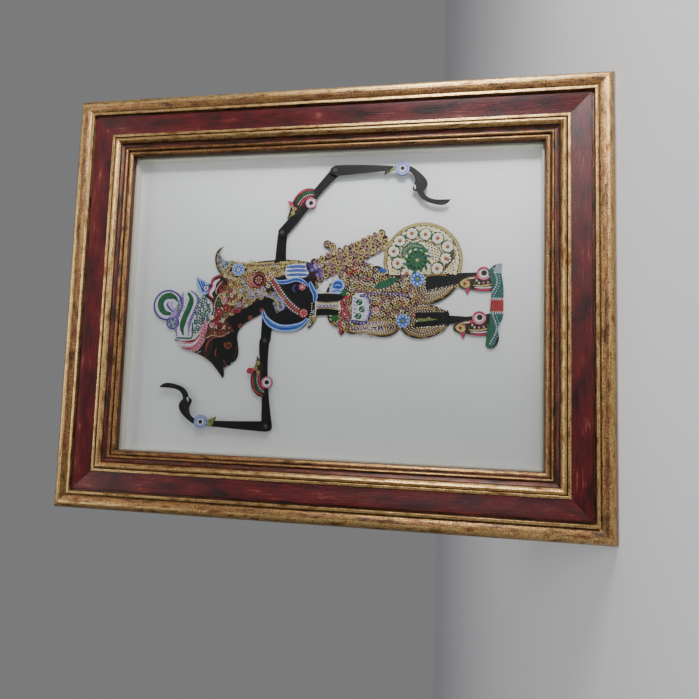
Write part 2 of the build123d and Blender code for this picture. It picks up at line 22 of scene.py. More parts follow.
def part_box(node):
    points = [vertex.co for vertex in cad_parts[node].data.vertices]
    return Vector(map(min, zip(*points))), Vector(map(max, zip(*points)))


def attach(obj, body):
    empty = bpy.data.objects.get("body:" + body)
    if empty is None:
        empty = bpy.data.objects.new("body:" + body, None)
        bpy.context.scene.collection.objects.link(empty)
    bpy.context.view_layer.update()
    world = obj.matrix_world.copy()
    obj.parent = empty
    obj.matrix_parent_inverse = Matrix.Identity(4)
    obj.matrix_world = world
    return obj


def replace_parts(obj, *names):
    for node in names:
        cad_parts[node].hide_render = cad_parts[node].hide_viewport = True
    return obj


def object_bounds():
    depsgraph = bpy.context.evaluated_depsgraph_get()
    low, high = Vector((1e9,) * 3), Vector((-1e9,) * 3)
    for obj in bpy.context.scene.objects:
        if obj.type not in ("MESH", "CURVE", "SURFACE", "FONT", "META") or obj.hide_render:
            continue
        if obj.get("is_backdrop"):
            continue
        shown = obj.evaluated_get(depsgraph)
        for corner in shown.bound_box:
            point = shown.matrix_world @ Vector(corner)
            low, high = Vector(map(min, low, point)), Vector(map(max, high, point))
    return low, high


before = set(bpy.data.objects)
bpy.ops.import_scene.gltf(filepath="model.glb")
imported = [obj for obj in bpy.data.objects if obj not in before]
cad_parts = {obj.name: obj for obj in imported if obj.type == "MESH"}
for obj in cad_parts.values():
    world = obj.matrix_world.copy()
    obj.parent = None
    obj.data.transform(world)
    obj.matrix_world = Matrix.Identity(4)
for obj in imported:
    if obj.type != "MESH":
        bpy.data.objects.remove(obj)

log = logging.getLogger("framed_puppet")

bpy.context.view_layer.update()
MM = 0.001
GLASS_LOW, GLASS_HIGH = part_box("glass_pane")
PICTURE_Z = (GLASS_LOW.z + GLASS_HIGH.z) / 2 / MM

# The relief of the paint on the leather, in millimetres
PAINT_FOOT = -0.05        # the foot of raised paint, sunk so that it leaves no gap
LINE_LIFT = 0.06          # the widest line's height
WIDE_LINE = 4.0           # lines narrower than this stand higher
THIN_LIFT = 0.0125        # for each millimetre narrower
LAYER_LIFT = 0.00012      # for each line that was laid before
DOT_RISE = 0.06           # dots above a line as wide
LINE_STEP, REGION_STEP = 0.6, 0.7
DISC_SIDES, CURL_SIDES, HOLE_SIDES, DOME_SIDES = 20, 14, 8, 8
CORNER_POINTS = 4         # on each softened corner of the moulding

Point = tuple[float, float]
Place = tuple[float, float, float]
Loop = np.ndarray


# ---- nodes and colours -----------------------------------------------------------------------
def linear(code: str) -> tuple[float, float, float, float]:
    """Turns an sRGB hex colour into linear light.

    Args:
        code: six hex digits, with or without a leading '#'.

    Returns:
        Linear red, green, blue, and an alpha of 1.
    """
    srgb = np.array([int(code.lstrip("#")[i:i + 2], 16) for i in (0, 2, 4)]) / 255
    light = np.where(srgb <= 0.04045, srgb / 12.92, ((srgb + 0.055) / 1.055) ** 2.4)
    return (*light.tolist(), 1.0)


def add_node(tree: bpy.types.NodeTree, kind: str, inputs: dict | None = None,
             **settings: object) -> bpy.types.Node:
    """Adds one shader node with its settings, socket values and incoming links.

    Args:
        tree: the material's node tree.
        kind: the node's type name, without the 'ShaderNode' in front.
        inputs: socket name or number to a value, or to the output socket that feeds it.
        settings: attributes of the node itself.

    Returns:
        The new node.
    """
    made = tree.nodes.new("ShaderNode" + kind)
    for name, value in settings.items():
        setattr(made, name, value)
    for name, value in (inputs or {}).items():
        socket = made.inputs[name]
        if isinstance(value, bpy.types.NodeSocket):
            tree.links.new(value, socket)
        else:
            socket.default_value = value
    return made


def ramp(tree: bpy.types.NodeTree, feed: bpy.types.NodeSocket,
         stops: Sequence[tuple[float, str]], smooth: bool = False) -> bpy.types.NodeSocket:
    """Adds a colour ramp.

    Args:
        tree: the material's node tree.
        feed: what drives it, from 0 to 1.
        stops: places and hex colours.
        smooth: whether it eases between colours.

    Returns:
        Its colour output.
    """
    made = add_node(tree, "ValToRGB", {"Fac": feed})
    band = made.color_ramp
    band.interpolation = "EASE" if smooth else "LINEAR"
    while len(band.elements) < len(stops):
        band.elements.new(0.5)
    for element, (place, code) in zip(band.elements, stops):
        element.position = place
        element.color = linear(code)
    return made.outputs["Color"]


def level(tree: bpy.types.NodeTree, feed: bpy.types.NodeSocket, low: float, high: float,
          out_low: float = 0.0, out_high: float = 1.0) -> bpy.types.NodeSocket:
    """Maps feed from low..high to out_low..out_high, clamped."""
    return add_node(tree, "MapRange", {"Value": feed, "From Min": low, "From Max": high,
                                       "To Min": out_low, "To Max": out_high}).outputs["Result"]


def mixed(tree: bpy.types.NodeTree, share: object, first: object,
          second: object) -> bpy.types.NodeSocket:
    """Mixes two colours.

    Args:
        tree: the material's node tree.
        share: how much of the second, from 0 to 1, as a number or a socket.
        first: a hex colour or a socket.
        second: a hex colour or a socket.

    Returns:
        The mixed colour's output.
    """
    made = add_node(tree, "Mix", {0: share}, data_type="RGBA", blend_type="MIX")
    for number, value in ((6, first), (7, second)):
        if isinstance(value, str):
            made.inputs[number].default_value = linear(value)
        else:
            tree.links.new(value, made.inputs[number])
    return made.outputs[2]


@dataclass(frozen=True)
class Finish:
    """What every finish has: a name and a way to lay out its nodes."""

    name: str

    def material(self) -> bpy.types.Material:
        """Returns this finish's material, made on first use.

        Returns:
            The material.
        """
        kept = bpy.data.materials.get(self.name)
        if kept is not None:
            return kept
        made = bpy.data.materials.new(self.name)
        made.use_nodes = True
        tree = made.node_tree
        tree.nodes.clear()
        shader = add_node(tree, "BsdfPrincipled")
        output = add_node(tree, "OutputMaterial")
        tree.links.new(shader.outputs[0], output.inputs[0])
        self.lay_out(tree, shader)
        return made

    def lay_out(self, tree: bpy.types.NodeTree, shader: bpy.types.Node) -> None:
        """Adds the finish's own nodes.

        Args:
            tree: the material's node tree.
            shader: its Principled shader.
        """
        raise NotImplementedError

    @staticmethod
    def millimetres(tree: bpy.types.NodeTree) -> bpy.types.NodeSocket:
        """Returns object coordinates scaled so that one unit is a millimetre."""
        place = add_node(tree, "TexCoord").outputs["Object"]
        return add_node(tree, "VectorMath", {0: place, 3: 1 / MM}, operation="SCALE").outputs[0]

    @staticmethod
    def surface_millimetres(tree: bpy.types.NodeTree,
                            stretch: Place = (1, 1, 1)) -> bpy.types.NodeSocket:
        """Returns the piece's own UV, which is in millimetres along and across, stretched."""
        place = add_node(tree, "UVMap", uv_map="along_across").outputs[0]
        return add_node(tree, "Mapping", {"Vector": place, "Scale": stretch}).outputs[0]

    @staticmethod
    def grain(tree: bpy.types.NodeTree, place: bpy.types.NodeSocket, size: float,
              detail: float = 3.0, roughness: float = 0.55) -> bpy.types.NodeSocket:
        """Returns noise whose lumps are about size millimetres across."""
        return add_node(tree, "TexNoise", {"Vector": place, "Scale": 1 / size, "Detail": detail,
                                           "Roughness": roughness}).outputs["Fac"]

    @staticmethod
    def bump(tree: bpy.types.NodeTree, shader: bpy.types.Node, height: bpy.types.NodeSocket,
             depth: float) -> None:
        """Roughens the shader's surface by a height of 0..1 times depth millimetres.

        Args:
            tree: the material's node tree.
            shader: its Principled shader.
            height: the pattern, from 0 to 1.
            depth: how deep it goes, in millimetres.
        """
        made = add_node(tree, "Bump", {"Height": height, "Distance": depth * MM,
                                       "Strength": 1.0})
        tree.links.new(made.outputs[0], shader.inputs["Normal"])


@dataclass(frozen=True)
class RubbedGilt(Finish):
    """Imitation gold leaf over dark size on a wood moulding, rubbed back by hand and flyspecked.

    The leaf is a thin metal with a broad soft shine. Rubbing along the length leaves the dark
    size showing in streaks, and the toning glaze spatters it with small dark specks.
    """

    bright: str = "#F0CC94"
    middle: str = "#B98B50"
    deep: str = "#3E2110"
    size_colour: str = "#1E0D06"
    worn: float = 0.5

    def lay_out(self, tree: bpy.types.NodeTree, shader: bpy.types.Node) -> None:
        """Streaks 1 mm wide and 20 mm long, broad toning, and specks of half a millimetre.

        Args:
            tree: the material's node tree.
            shader: its Principled shader.
        """
        streaks = self.grain(tree, self.surface_millimetres(tree, (0.05, 0.9, 1)), 1.0, 5, 0.7)
        patches = self.grain(tree, self.surface_millimetres(tree, (0.3, 1, 1)), 5, 5, 0.65)
        fine = self.grain(tree, self.surface_millimetres(tree, (0.45, 1, 1)), 0.55, 3, 0.65)
        leaf = ramp(tree, patches, [(0.34, self.middle), (0.5, self.bright), (0.66, self.middle)])
        leaf = mixed(tree, level(tree, fine, 0.44, 0.62, 0, 0.85), leaf, self.middle)
        bole = mixed(tree, level(tree, patches, 0.4, 0.6), self.deep, "#5A1E14")
        wear = add_node(tree, "Math", {0: streaks, 1: fine}, operation="ADD").outputs[0]
        rubbed = level(tree, wear, 1.2 - 0.24 * self.worn, 1.36 - 0.24 * self.worn)
        toned = mixed(tree, rubbed, leaf, bole)
        cells = add_node(tree, "TexVoronoi", {"Vector": self.surface_millimetres(tree),
                                              "Scale": 0.5, "Randomness": 1.0})
        specks = level(tree, cells.outputs["Distance"], 0.12, 0.2, 1, 0)
        parts = add_node(tree, "SeparateColor", {0: cells.outputs["Color"]})
        chance = level(tree, parts.outputs[0], 0.4, 0.44)
        dark = add_node(tree, "Math", {0: specks, 1: chance}, operation="MULTIPLY").outputs[0]
        tree.links.new(mixed(tree, dark, toned, self.size_colour), shader.inputs["Base Color"])
        bare = add_node(tree, "Math", {0: rubbed, 1: dark}, operation="MAXIMUM").outputs[0]
        tree.links.new(level(tree, bare, 0, 1, 0.92, 0.2), shader.inputs["Metallic"])
        tree.links.new(level(tree, fine, 0.3, 0.7, 0.3, 0.5), shader.inputs["Roughness"])
        self.bump(tree, shader, wear, 0.14)


@dataclass(frozen=True)
class RubbedRed(Finish):
    """Dark red paint brushed over gilt, rubbed through along the grain, under satin varnish.

    The red stays deep in the hollows of the brush marks and turns brown gold where it is thin.
    """

    red: str = "#480A0C"
    dark: str = "#120203"
    thin: str = "#94604F"

    def lay_out(self, tree: bpy.types.NodeTree, shader: bpy.types.Node) -> None:
        """Brush marks 0.8 mm wide and 16 mm long, clouds of 10 mm, and rubbed-through flecks.

        Args:
            tree: the material's node tree.
            shader: its Principled shader.
        """
        marks = self.grain(tree, self.surface_millimetres(tree, (0.05, 1, 1)), 0.8, 5, 0.7)
        clouds = self.grain(tree, self.surface_millimetres(tree, (0.4, 1, 1)), 10, 4, 0.6)
        red = ramp(tree, clouds, [(0.3, self.dark), (0.55, self.red), (0.8, "#52110F")])
        red = mixed(tree, level(tree, marks, 0.38, 0.62, 0.55, 0), red, self.dark)
        through = add_node(tree, "Math", {0: marks, 1: clouds}, operation="ADD").outputs[0]
        flecks = level(tree, through, 1.16, 1.4, 0, 0.6)
        tree.links.new(mixed(tree, flecks, red, self.thin), shader.inputs["Base Color"])
        tree.links.new(level(tree, marks, 0.3, 0.7, 0.34, 0.5), shader.inputs["Roughness"])
        shader.inputs["Specular IOR Level"].default_value = 0.22
        shader.inputs["Coat Weight"].default_value = 0.05
        shader.inputs["Coat Roughness"].default_value = 0.25
        pores = self.grain(tree, self.surface_millimetres(tree, (0.6, 1, 1)), 0.5, 3, 0.7)
        self.bump(tree, shader, add_node(tree, "Math", {0: marks, 1: pores},
                                         operation="ADD").outputs[0], 0.16)


@dataclass(frozen=True)
class BareWood(Finish):
    """Planed softwood, unfinished, as the back of a machined moulding: matt, with long grain."""

    light: str = "#CDAA78"
    dark: str = "#9C7443"

    def lay_out(self, tree: bpy.types.NodeTree, shader: bpy.types.Node) -> None:
        """Growth rings about 3 mm apart, drawn out along the rail, with fine pores.

        Args:
            tree: the material's node tree.
            shader: its Principled shader.
        """
        rings = self.grain(tree, self.surface_millimetres(tree, (0.02, 1, 1)), 3, 4, 0.5)
        pores = self.grain(tree, self.surface_millimetres(tree, (0.08, 1, 1)), 0.5, 2, 0.6)
        wood = ramp(tree, rings, [(0.35, self.dark), (0.5, self.light), (0.62, self.dark),
                                  (0.7, self.light)], True)
        wood = mixed(tree, level(tree, pores, 0.5, 0.8, 0, 0.5), wood, self.dark)
        tree.links.new(wood, shader.inputs["Base Color"])
        shader.inputs["Roughness"].default_value = 0.78
        self.bump(tree, shader, pores, 0.08)


@dataclass(frozen=True)
class FlatSheet(Finish):
    """Card, paper, hardboard, felt or foam: matt, one colour with fibres or pores."""

    colour: str
    fleck: str
    size: float
    depth: float = 0.03
    roughness: float = 0.85
    share: float = 0.5

    def lay_out(self, tree: bpy.types.NodeTree, shader: bpy.types.Node) -> None:
        """Flecks of the given size over clouds sixty times larger.

        Args:
            tree: the material's node tree.
            shader: its Principled shader.
        """
        place = self.millimetres(tree)
        fine = self.grain(tree, place, self.size, 4, 0.65)
        cloud = self.grain(tree, place, self.size * 60, 2, 0.5)
        base = mixed(tree, level(tree, fine, 0.45, 0.7, 0, self.share), self.colour, self.fleck)
        base = mixed(tree, level(tree, cloud, 0.35, 0.75, 0, self.share * 0.5), base, self.fleck)
        tree.links.new(base, shader.inputs["Base Color"])
        shader.inputs["Roughness"].default_value = self.roughness
        self.bump(tree, shader, fine, self.depth)


@dataclass(frozen=True)
class PlatedMetal(Finish):
    """Rolled or drawn steel with a thin bright plating, rubbed dull on its flats."""

    colour: str
    stain: str
    roughness: float = 0.3

    def lay_out(self, tree: bpy.types.NodeTree, shader: bpy.types.Node) -> None:
        """Fine rolling marks and a faint tarnish of 2 mm patches.

        Args:
            tree: the material's node tree.
            shader: its Principled shader.
        """
        place = self.millimetres(tree)
        tarnish = self.grain(tree, place, 2, 4, 0.6)
        marks = self.grain(tree, place, 0.2, 2, 0.6)
        colour = mixed(tree, level(tree, tarnish, 0.5, 0.8, 0, 0.6), self.colour, self.stain)
        tree.links.new(colour, shader.inputs["Base Color"])
        shader.inputs["Metallic"].default_value = 1.0
        tree.links.new(level(tree, tarnish, 0.3, 0.8, self.roughness, self.roughness + 0.2),
                       shader.inputs["Roughness"])
        self.bump(tree, shader, marks, 0.01)


@dataclass(frozen=True)
class ClearGlass(Finish):
    """Float picture glass, 2 mm: seen only by what it reflects, more so at a grazing angle.

    Attributes:
        index: the index of refraction.
        face_on, grazing: how much of the mirror shows face on, and at the flattest angle.
    """

    index: float = 1.45
    face_on: float = 0.008
    grazing: float = 0.85

    def lay_out(self, tree: bpy.types.NodeTree, shader: bpy.types.Node) -> None:
        """A mirror that is seen through face on, and grows strong at a grazing angle.

        Args:
            tree: the material's node tree.
            shader: its Principled shader.
        """
        shader.inputs["Base Color"].default_value = linear("#F4FAF8")
        shader.inputs["Metallic"].default_value = 1.0
        shader.inputs["Roughness"].default_value = 0.02
        glance = add_node(tree, "Fresnel", {"IOR": self.index}).outputs[0]
        shown = level(tree, glance, 0.034, 1.0, self.face_on, self.grazing)
        tree.links.new(shown, shader.inputs["Alpha"])


@dataclass(frozen=True)
class HidePaint(Finish):
    """Thick water paint on scraped hide, brushed by hand: opaque, satin, a little uneven."""

    colour: str
    shade: str
    roughness: float = 0.5
    metallic: float = 0.0
    patch: float = 2.2

    def lay_out(self, tree: bpy.types.NodeTree, shader: bpy.types.Node) -> None:
        """Brush patches of the given size, with the hide's 0.35 mm grain under them.

        Args:
            tree: the material's node tree.
            shader: its Principled shader.
        """
        place = self.millimetres(tree)
        brush = self.grain(tree, place, self.patch, 3, 0.6)
        hide = self.grain(tree, place, 0.35, 3, 0.6)
        tone = mixed(tree, level(tree, brush, 0.4, 0.7), self.colour, self.shade)
        tree.links.new(tone, shader.inputs["Base Color"])
        shader.inputs["Metallic"].default_value = self.metallic
        tree.links.new(level(tree, hide, 0.3, 0.7, self.roughness - 0.08, self.roughness + 0.1),
                       shader.inputs["Roughness"])
        shader.inputs["Specular IOR Level"].default_value = 0.3
        self.bump(tree, shader, hide, 0.04)


GILT = RubbedGilt("rubbed_gilt", bright="#CCAC72", middle="#6A4524", deep="#26120E")
# darker gilt for the bead's inner slope and the small inner beads: more wear, and painted shade
GILT_WORN_AND_SHADED = RubbedGilt("rubbed_gilt_aged", bright="#A8834E", middle="#482C18", deep="#1A0C08",
                       worn=0.95)
# darker, more worn gilt for the outer edge and the sight edge: painted shade
GILT_EDGE_WORN_AND_SHADED = RubbedGilt("rubbed_gilt_toned", bright="#66462A", middle="#3C2512", deep="#180C06",
                       worn=1.1)
SIZE_BROWN = RubbedGilt("stained_moulding_side", bright="#3A2412", middle="#231309",
                        deep="#120804", worn=1.2)
RED_PANEL = RubbedRed("rubbed_red")
RAIL_BACK = BareWood("bare_softwood")
PICTURE_GLASS = ClearGlass("picture_glass")
BOARD_PAPER = FlatSheet("mount_board_paper", "#F1F2F2", "#E4E5E4", 0.6, 0.02, 0.9, 0.35)
SPACER_CARD = FlatSheet("spacer_card", "#D6CDB0", "#B5A988", 0.5, 0.02, 0.8, 0.4)
HARDBOARD = FlatSheet("hardboard", "#7A5636", "#5A3C22", 0.8, 0.05, 0.65, 0.8)
FELT = FlatSheet("black_felt", "#232323", "#3A3A3A", 0.3, 0.15, 0.95, 0.7)
FOAM = FlatSheet("white_foam", "#DAD8CE", "#B8B5A8", 0.7, 0.12, 0.9, 0.5)
ZINC = PlatedMetal("zinc_plate", "#BFC2C6", "#8C8F90", 0.32)
BRASS = PlatedMetal("brass_plate", "#D0A860", "#8A6A34", 0.25)
FLOOR_PAPER = FlatSheet("floor_paper", "#F0F0F2", "#ECECEE", 3.0, 0.0, 0.9, 0.3)
HORN = HidePaint("rivet_horn", "#C9BFA6", "#8E8064", 0.3)
NAIL_STEEL = PlatedMetal("nail_strip", "#A8A8AA", "#6E675E", 0.35)


class Paint(Enum):
    """The colours on the figure, each a hide paint."""

    BLACK = HidePaint("paint_black", "#0B0B0F", "#050507", 0.5)
    INK = HidePaint("paint_ink", "#23222F", "#151420", 0.5)
    BRONZE = HidePaint("paint_bronze", "#9A8450", "#77602F", 0.38, 0.45)
    OCHRE = HidePaint("paint_ochre", "#C9B878", "#A8924F", 0.5, 0.15)
    CREAM = HidePaint("paint_cream", "#E6DDBE", "#CFC295", 0.55)
    WHITE = HidePaint("paint_white", "#E4E2EA", "#C9C6D4", 0.5)
    BROWN = HidePaint("paint_brown", "#5C3E22", "#3C2714", 0.5)
    UMBER = HidePaint("paint_umber", "#33221A", "#1E130E", 0.5)
    RED = HidePaint("paint_red", "#A82A2C", "#7E1A1E", 0.42)
    MAROON = HidePaint("paint_maroon", "#6E2022", "#4C1014", 0.45)
    BRICK = HidePaint("paint_brick", "#9C4A34", "#7A3424", 0.45)
    PINK = HidePaint("paint_pink", "#D99CAC", "#C07486", 0.5)
    ROSE = HidePaint("paint_rose", "#C03A58", "#98263E", 0.42)
    BLUE = HidePaint("paint_blue", "#2A58B4", "#1B3F8C", 0.42)
    SKY = HidePaint("paint_sky", "#A4BEF2", "#86A2E0", 0.5)
    VIOLET = HidePaint("paint_violet", "#5A3E9E", "#3E2A74", 0.45)
    LILAC = HidePaint("paint_lilac", "#A79ACB", "#8A7BB2", 0.5)
    GREEN = HidePaint("paint_green", "#256B34", "#144A20", 0.42)
    TEAL = HidePaint("paint_teal", "#2C6456", "#1D4A40", 0.45)
    OLIVE = HidePaint("paint_olive", "#7C8A48", "#5E6B34", 0.48)
    ASH = HidePaint("paint_ash", "#9AA4AE", "#7F8A94", 0.5)
    DUST = HidePaint("paint_dust", "#B08C86", "#8C6A66", 0.5)

    def material(self) -> bpy.types.Material:
        """Returns the paint's material."""
        return self.value.material()


# ---- meshes ----------------------------------------------------------------------------------
@dataclass
class Shape:
    """Corners (n, 3) in millimetres, with faces as whole arrays of one corner count each."""

    corners: np.ndarray
    faces: list[np.ndarray]

    @staticmethod
    def joined(shapes: Sequence["Shape"]) -> "Shape":
        """Joins shapes.

        Args:
            shapes: the shapes, kept in their order.

        Returns:
            All of them as one, their corners in a row.
        """
        starts = np.cumsum([0] + [len(s.corners) for s in shapes])
        by_count: dict[int, list[np.ndarray]] = {}
        for start, shape in zip(starts, shapes):
            for block in shape.faces:
                by_count.setdefault(block.shape[1], []).append(block + start)
        return Shape(np.concatenate([s.corners for s in shapes]),
                     [np.concatenate(blocks) for blocks in by_count.values()])


def make_piece(name: str, shape: Shape, finishes: Sequence[object], body: str,
               zones: Sequence[np.ndarray] | None = None, along_across: np.ndarray | None = None,
               smooth_angle: float = 40.0) -> bpy.types.Object:
    """Makes a mesh object from arrays and puts it on its body.

    Args:
        name: the piece's name.
        shape: corners in millimetres and faces.
        finishes: a finish or paint for each material slot.
        body: the CAD body that the piece moves with.
        zones: for each block of faces, the number of its finish; all 0 where left out.
        along_across: a UV in millimetres for each corner.
        smooth_angle: edges sharper than this stay sharp, in degrees.

    Returns:
        The new object.
    """
    mesh = bpy.data.meshes.new(name)
    mesh.vertices.add(len(shape.corners))
    mesh.vertices.foreach_set("co", (shape.corners * MM).astype(np.float32).ravel())
    counts = np.concatenate([np.full(len(block), block.shape[1]) for block in shape.faces])
    ends = np.concatenate([block.ravel() for block in shape.faces])
    mesh.loops.add(len(ends))
    mesh.loops.foreach_set("vertex_index", ends.astype(np.int32))
    mesh.polygons.add(len(counts))
    mesh.polygons.foreach_set("loop_start", (np.cumsum(counts) - counts).astype(np.int32))
    mesh.polygons.foreach_set("use_smooth", np.ones(len(counts), bool))
    for finish in finishes:
        mesh.materials.append(finish.material())
    if zones is not None:
        mesh.polygons.foreach_set("material_index", np.concatenate(zones).astype(np.int32))
    if along_across is not None:
        layer = mesh.uv_layers.new(name="along_across")
        layer.data.foreach_set("uv", along_across[ends].astype(np.float32).ravel())
    mesh.update(calc_edges=True)
    mesh.validate()
    outward = bmesh.new()
    outward.from_mesh(mesh)
    bmesh.ops.recalc_face_normals(outward, faces=outward.faces)
    outward.to_mesh(mesh)
    outward.free()
    mesh.set_sharp_from_angle(angle=math.radians(smooth_angle))
    made = bpy.data.objects.new(name, mesh)
    bpy.context.scene.collection.objects.link(made)
    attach(made, body)
    log.info("%s: %d faces on %s", name, len(mesh.polygons), body)
    return made


def curve_through(points: Sequence[Point], step: float = 0.5, closed: bool = False) -> Loop:
    """Runs a smooth curve through given points.

    The curve is a uniform Catmull-Rom: between two points it is the cubic whose end slopes are
    half the vector between the points on either side.

    Args:
        points: the points that the curve passes through.
        step: the spacing of the result, in millimetres.
        closed: whether the curve returns to its first point.

    Returns:
        An (n, 2) array; a closed curve doesn't repeat its first point.
    """
    given = np.array(points, float)
    if len(given) == 2 and not closed:
        count = max(2, int(np.linalg.norm(given[1] - given[0]) / step) + 1)
        return given[0] + np.linspace(0, 1, count)[:, None] * (given[1] - given[0])
    if closed:
        framed = np.concatenate([given[-1:], given, given[:2]])
    else:
        framed = np.concatenate([2 * given[:1] - given[1:2], given, 2 * given[-1:] - given[-2:-1]])
    before, start, end, after = framed[:-3], framed[1:-2], framed[2:-1], framed[3:]
    share = np.linspace(0, 1, 13)[:-1][None, :, None]
    a, b, c, d = (p[:, None, :] for p in (before, start, end, after))
    dense = 0.5 * (2 * b + (c - a) * share + (2 * a - 5 * b + 4 * c - d) * share ** 2
                   + (3 * b - a - 3 * c + d) * share ** 3)
    dense = dense.reshape(-1, 2)
    dense = np.concatenate([dense, dense[:1] if closed else given[-1:]])
    return evenly(dense, step)[:-1] if closed else evenly(dense, step)


def evenly(path: Loop, step: float) -> Loop:
    """Resamples a path at even spacing, both ends kept.

    Args:
        path: the points of the path.
        step: the spacing to come nearest to.

    Returns:
        The new points.
    """
    run = np.concatenate([[0], np.cumsum(np.linalg.norm(np.diff(path, axis=0), axis=1))])
    count = max(2, int(round(run[-1] / step)) + 1)
    at = np.linspace(0, run[-1], count)
    return np.stack([np.interp(at, run, path[:, i]) for i in (0, 1)], axis=1)


def ring(x: float, z: float, radius: float, count: int) -> Loop:
    """Makes a circle.

    Args:
        x: the middle's place across.
        z: the middle's place up.
        radius: the radius.
        count: how many points.

    Returns:
        The closed loop.
    """
    angle = np.arange(count) / count * 2 * np.pi
    return np.stack([radius * np.cos(angle), radius * np.sin(angle)], axis=1) + (x, z)


def spiral(x: float, z: float, radius: float, turns: float, start: float,
           hand: int = 1, inner: float = 0.15) -> Loop:
    """Makes a scroll, whose radius shrinks evenly as its angle runs.

    Args:
        x: the eye's place across.
        z: the eye's place up.
        radius: the radius at the start.
        turns: how many times it goes round.
        start: the angle at the start, in degrees.
        hand: 1 to turn against the clock, -1 with it.
        inner: the last radius as a share of the first.

    Returns:
        The path, from the outside in.
    """
    share = np.linspace(0, 1, max(8, int(radius * turns * 7)))
    angle = math.radians(start) + hand * share * turns * 2 * np.pi
    reach = radius * (1 - (1 - inner) * share)
    return np.stack([x + reach * np.cos(angle), z + reach * np.sin(angle)], axis=1)


def sides(loop: Loop) -> np.ndarray:
    """Returns a closed loop's edges as (n, 2, 2)."""
    return np.stack([loop, np.roll(loop, -1, axis=0)], axis=1)


def inside(points: np.ndarray, edges: np.ndarray) -> np.ndarray:
    """Says which points lie inside closed edges, by counting the edges to the right of each.

    Args:
        points: the points (n, 2).
        edges: the edges (m, 2, 2), in any order.

    Returns:
        True or false for each point.
    """
    found = np.zeros(len(points), bool)
    low, high = edges.min(axis=(0, 1)), edges.max(axis=(0, 1))
    near = np.flatnonzero(((points >= low) & (points <= high)).all(axis=1))
    x, z = points[near, 0, None], points[near, 1, None]
    (x0, z0), (x1, z1) = edges[:, 0].T, edges[:, 1].T
    rise = np.where(z1 == z0, 1.0, z1 - z0)
    crosses = ((z0 > z) != (z1 > z)) & (x < (x1 - x0) * (z - z0) / rise + x0)
    found[near] = crosses.sum(axis=1) % 2 == 1
    return found


def lattice(loop: Loop, pitch: float, margin: float = 0.0, turn: float = 0.0) -> np.ndarray:
    """Spreads a triangular lattice over the inside of a loop.

    Args:
        loop: the closed loop.
        pitch: the distance between neighbours.
        margin: how far the points keep from the loop.
        turn: degrees that the lattice is turned.

    Returns:
        The points.
    """
    middle, reach = loop.mean(axis=0), np.ptp(loop, axis=0).max()
    count = int(reach / pitch) + 2
    i, j = np.meshgrid(np.arange(-count, count + 1), np.arange(-count, count + 1))
    flat = np.stack([(i + 0.5 * (j % 2)).ravel() * pitch, j.ravel() * pitch * 0.866], axis=1)
    cos, sin = math.cos(math.radians(turn)), math.sin(math.radians(turn))
    found = flat @ np.array([[cos, sin], [-sin, cos]]) + middle
    found = found[inside(found, sides(loop))]
    if margin and len(found):
        edge = evenly(np.concatenate([loop, loop[:1]]), 0.5)
        gap = np.linalg.norm(found[:, None] - edge[None], axis=2).min(axis=1)
        found = found[gap > margin]
    return found


def shifted(place: Point, points: Sequence[Point]) -> list[Point]:
    """Returns points that are given about a place."""
    return [(place[0] + x, place[1] + z) for x, z in points]


def clear_of(centres: Loop, path: Loop, gap: float) -> Loop:
    """Returns the centres that lie farther than the gap from every point of a path."""
    apart = np.linalg.norm(centres[:, None] - path[None], axis=2).min(axis=1)
    return centres[apart > gap]


def raised_line(path: Loop, width: np.ndarray, base: float, height: float) -> Shape:
    """Makes a bead of paint along a path, its section a low arch with a flat foot.

    At each point of the path six corners stand across it: two under the surface at the full
    width, two shoulders at nine tenths of it, and two at half of it at full height.

    Args:
        path: the line's middle, (n, 2).
        width: the line's width at each point.
        base: the depth of the surface that it lies on.
        height: how far it stands above that surface.

    Returns:
        A closed shape.
    """
    slope = np.gradient(path, axis=0)
    slope /= np.maximum(np.linalg.norm(slope, axis=1, keepdims=True), 1e-9)
    across = np.stack([-slope[:, 1], slope[:, 0]], axis=1)
    half = (width / 2)[:, None]
    stands = np.array([-1.0, -0.9, -0.5, 0.5, 0.9, 1.0])
    lifts = np.array([PAINT_FOOT, height * 0.86, height, height, height * 0.86, PAINT_FOOT])
    flat = path[:, None, :] + across[:, None, :] * (half * stands)[:, :, None]
    depth = np.broadcast_to(base + lifts, flat.shape[:2])
    corners = placed(flat.reshape(-1, 2), depth.ravel())
    row, col = np.arange(len(path) - 1)[:, None] * 6, np.arange(6)
    after = (col + 1) % 6
    walls = np.stack([row + col, row + 6 + col, row + 6 + after, row + after], axis=-1)
    caps = np.stack([np.arange(6)[::-1], np.arange(6) + 6 * (len(path) - 1)])
    return Shape(corners, [walls.reshape(-1, 4), caps])


def domes(centres: np.ndarray, radius: np.ndarray | float, base: float, height: float) -> Shape:
    """Makes one low dome of paint at each centre: two rings of corners, and a top.

    Args:
        centres: the middles (n, 2).
        radius: the radius of every dome.
        base: the depth of the surface that they lie on.
        height: how far they stand above it.

    Returns:
        One shape for all.
    """
    n = DOME_SIDES
    angle = np.arange(n) / n * 2 * np.pi
    circle = np.stack([np.cos(angle), np.sin(angle)], axis=1)
    flat = np.concatenate([circle, circle * 0.72, [[0.0, 0.0]]])
    lifts = np.concatenate([np.full(n, PAINT_FOOT), np.full(n, height * 0.85), [height]])
    reach = np.broadcast_to(np.asarray(radius, float), (len(centres),))[:, None, None]
    places = centres[:, None, :] + flat[None] * reach
    corners = placed(places.reshape(-1, 2), np.tile(base + lifts, len(centres)))
    start = (np.arange(len(centres)) * (2 * n + 1))[:, None, None]
    one, two = np.arange(n), (np.arange(n) + 1) % n
    walls = np.stack([one, two, two + n, one + n], axis=1)[None] + start
    tops = np.stack([one + n, two + n, np.full(n, 2 * n)], axis=1)[None] + start
    feet = one[::-1][None, None, :] + start
    return Shape(corners, [walls.reshape(-1, 4), tops.reshape(-1, 3), feet.reshape(-1, n)])


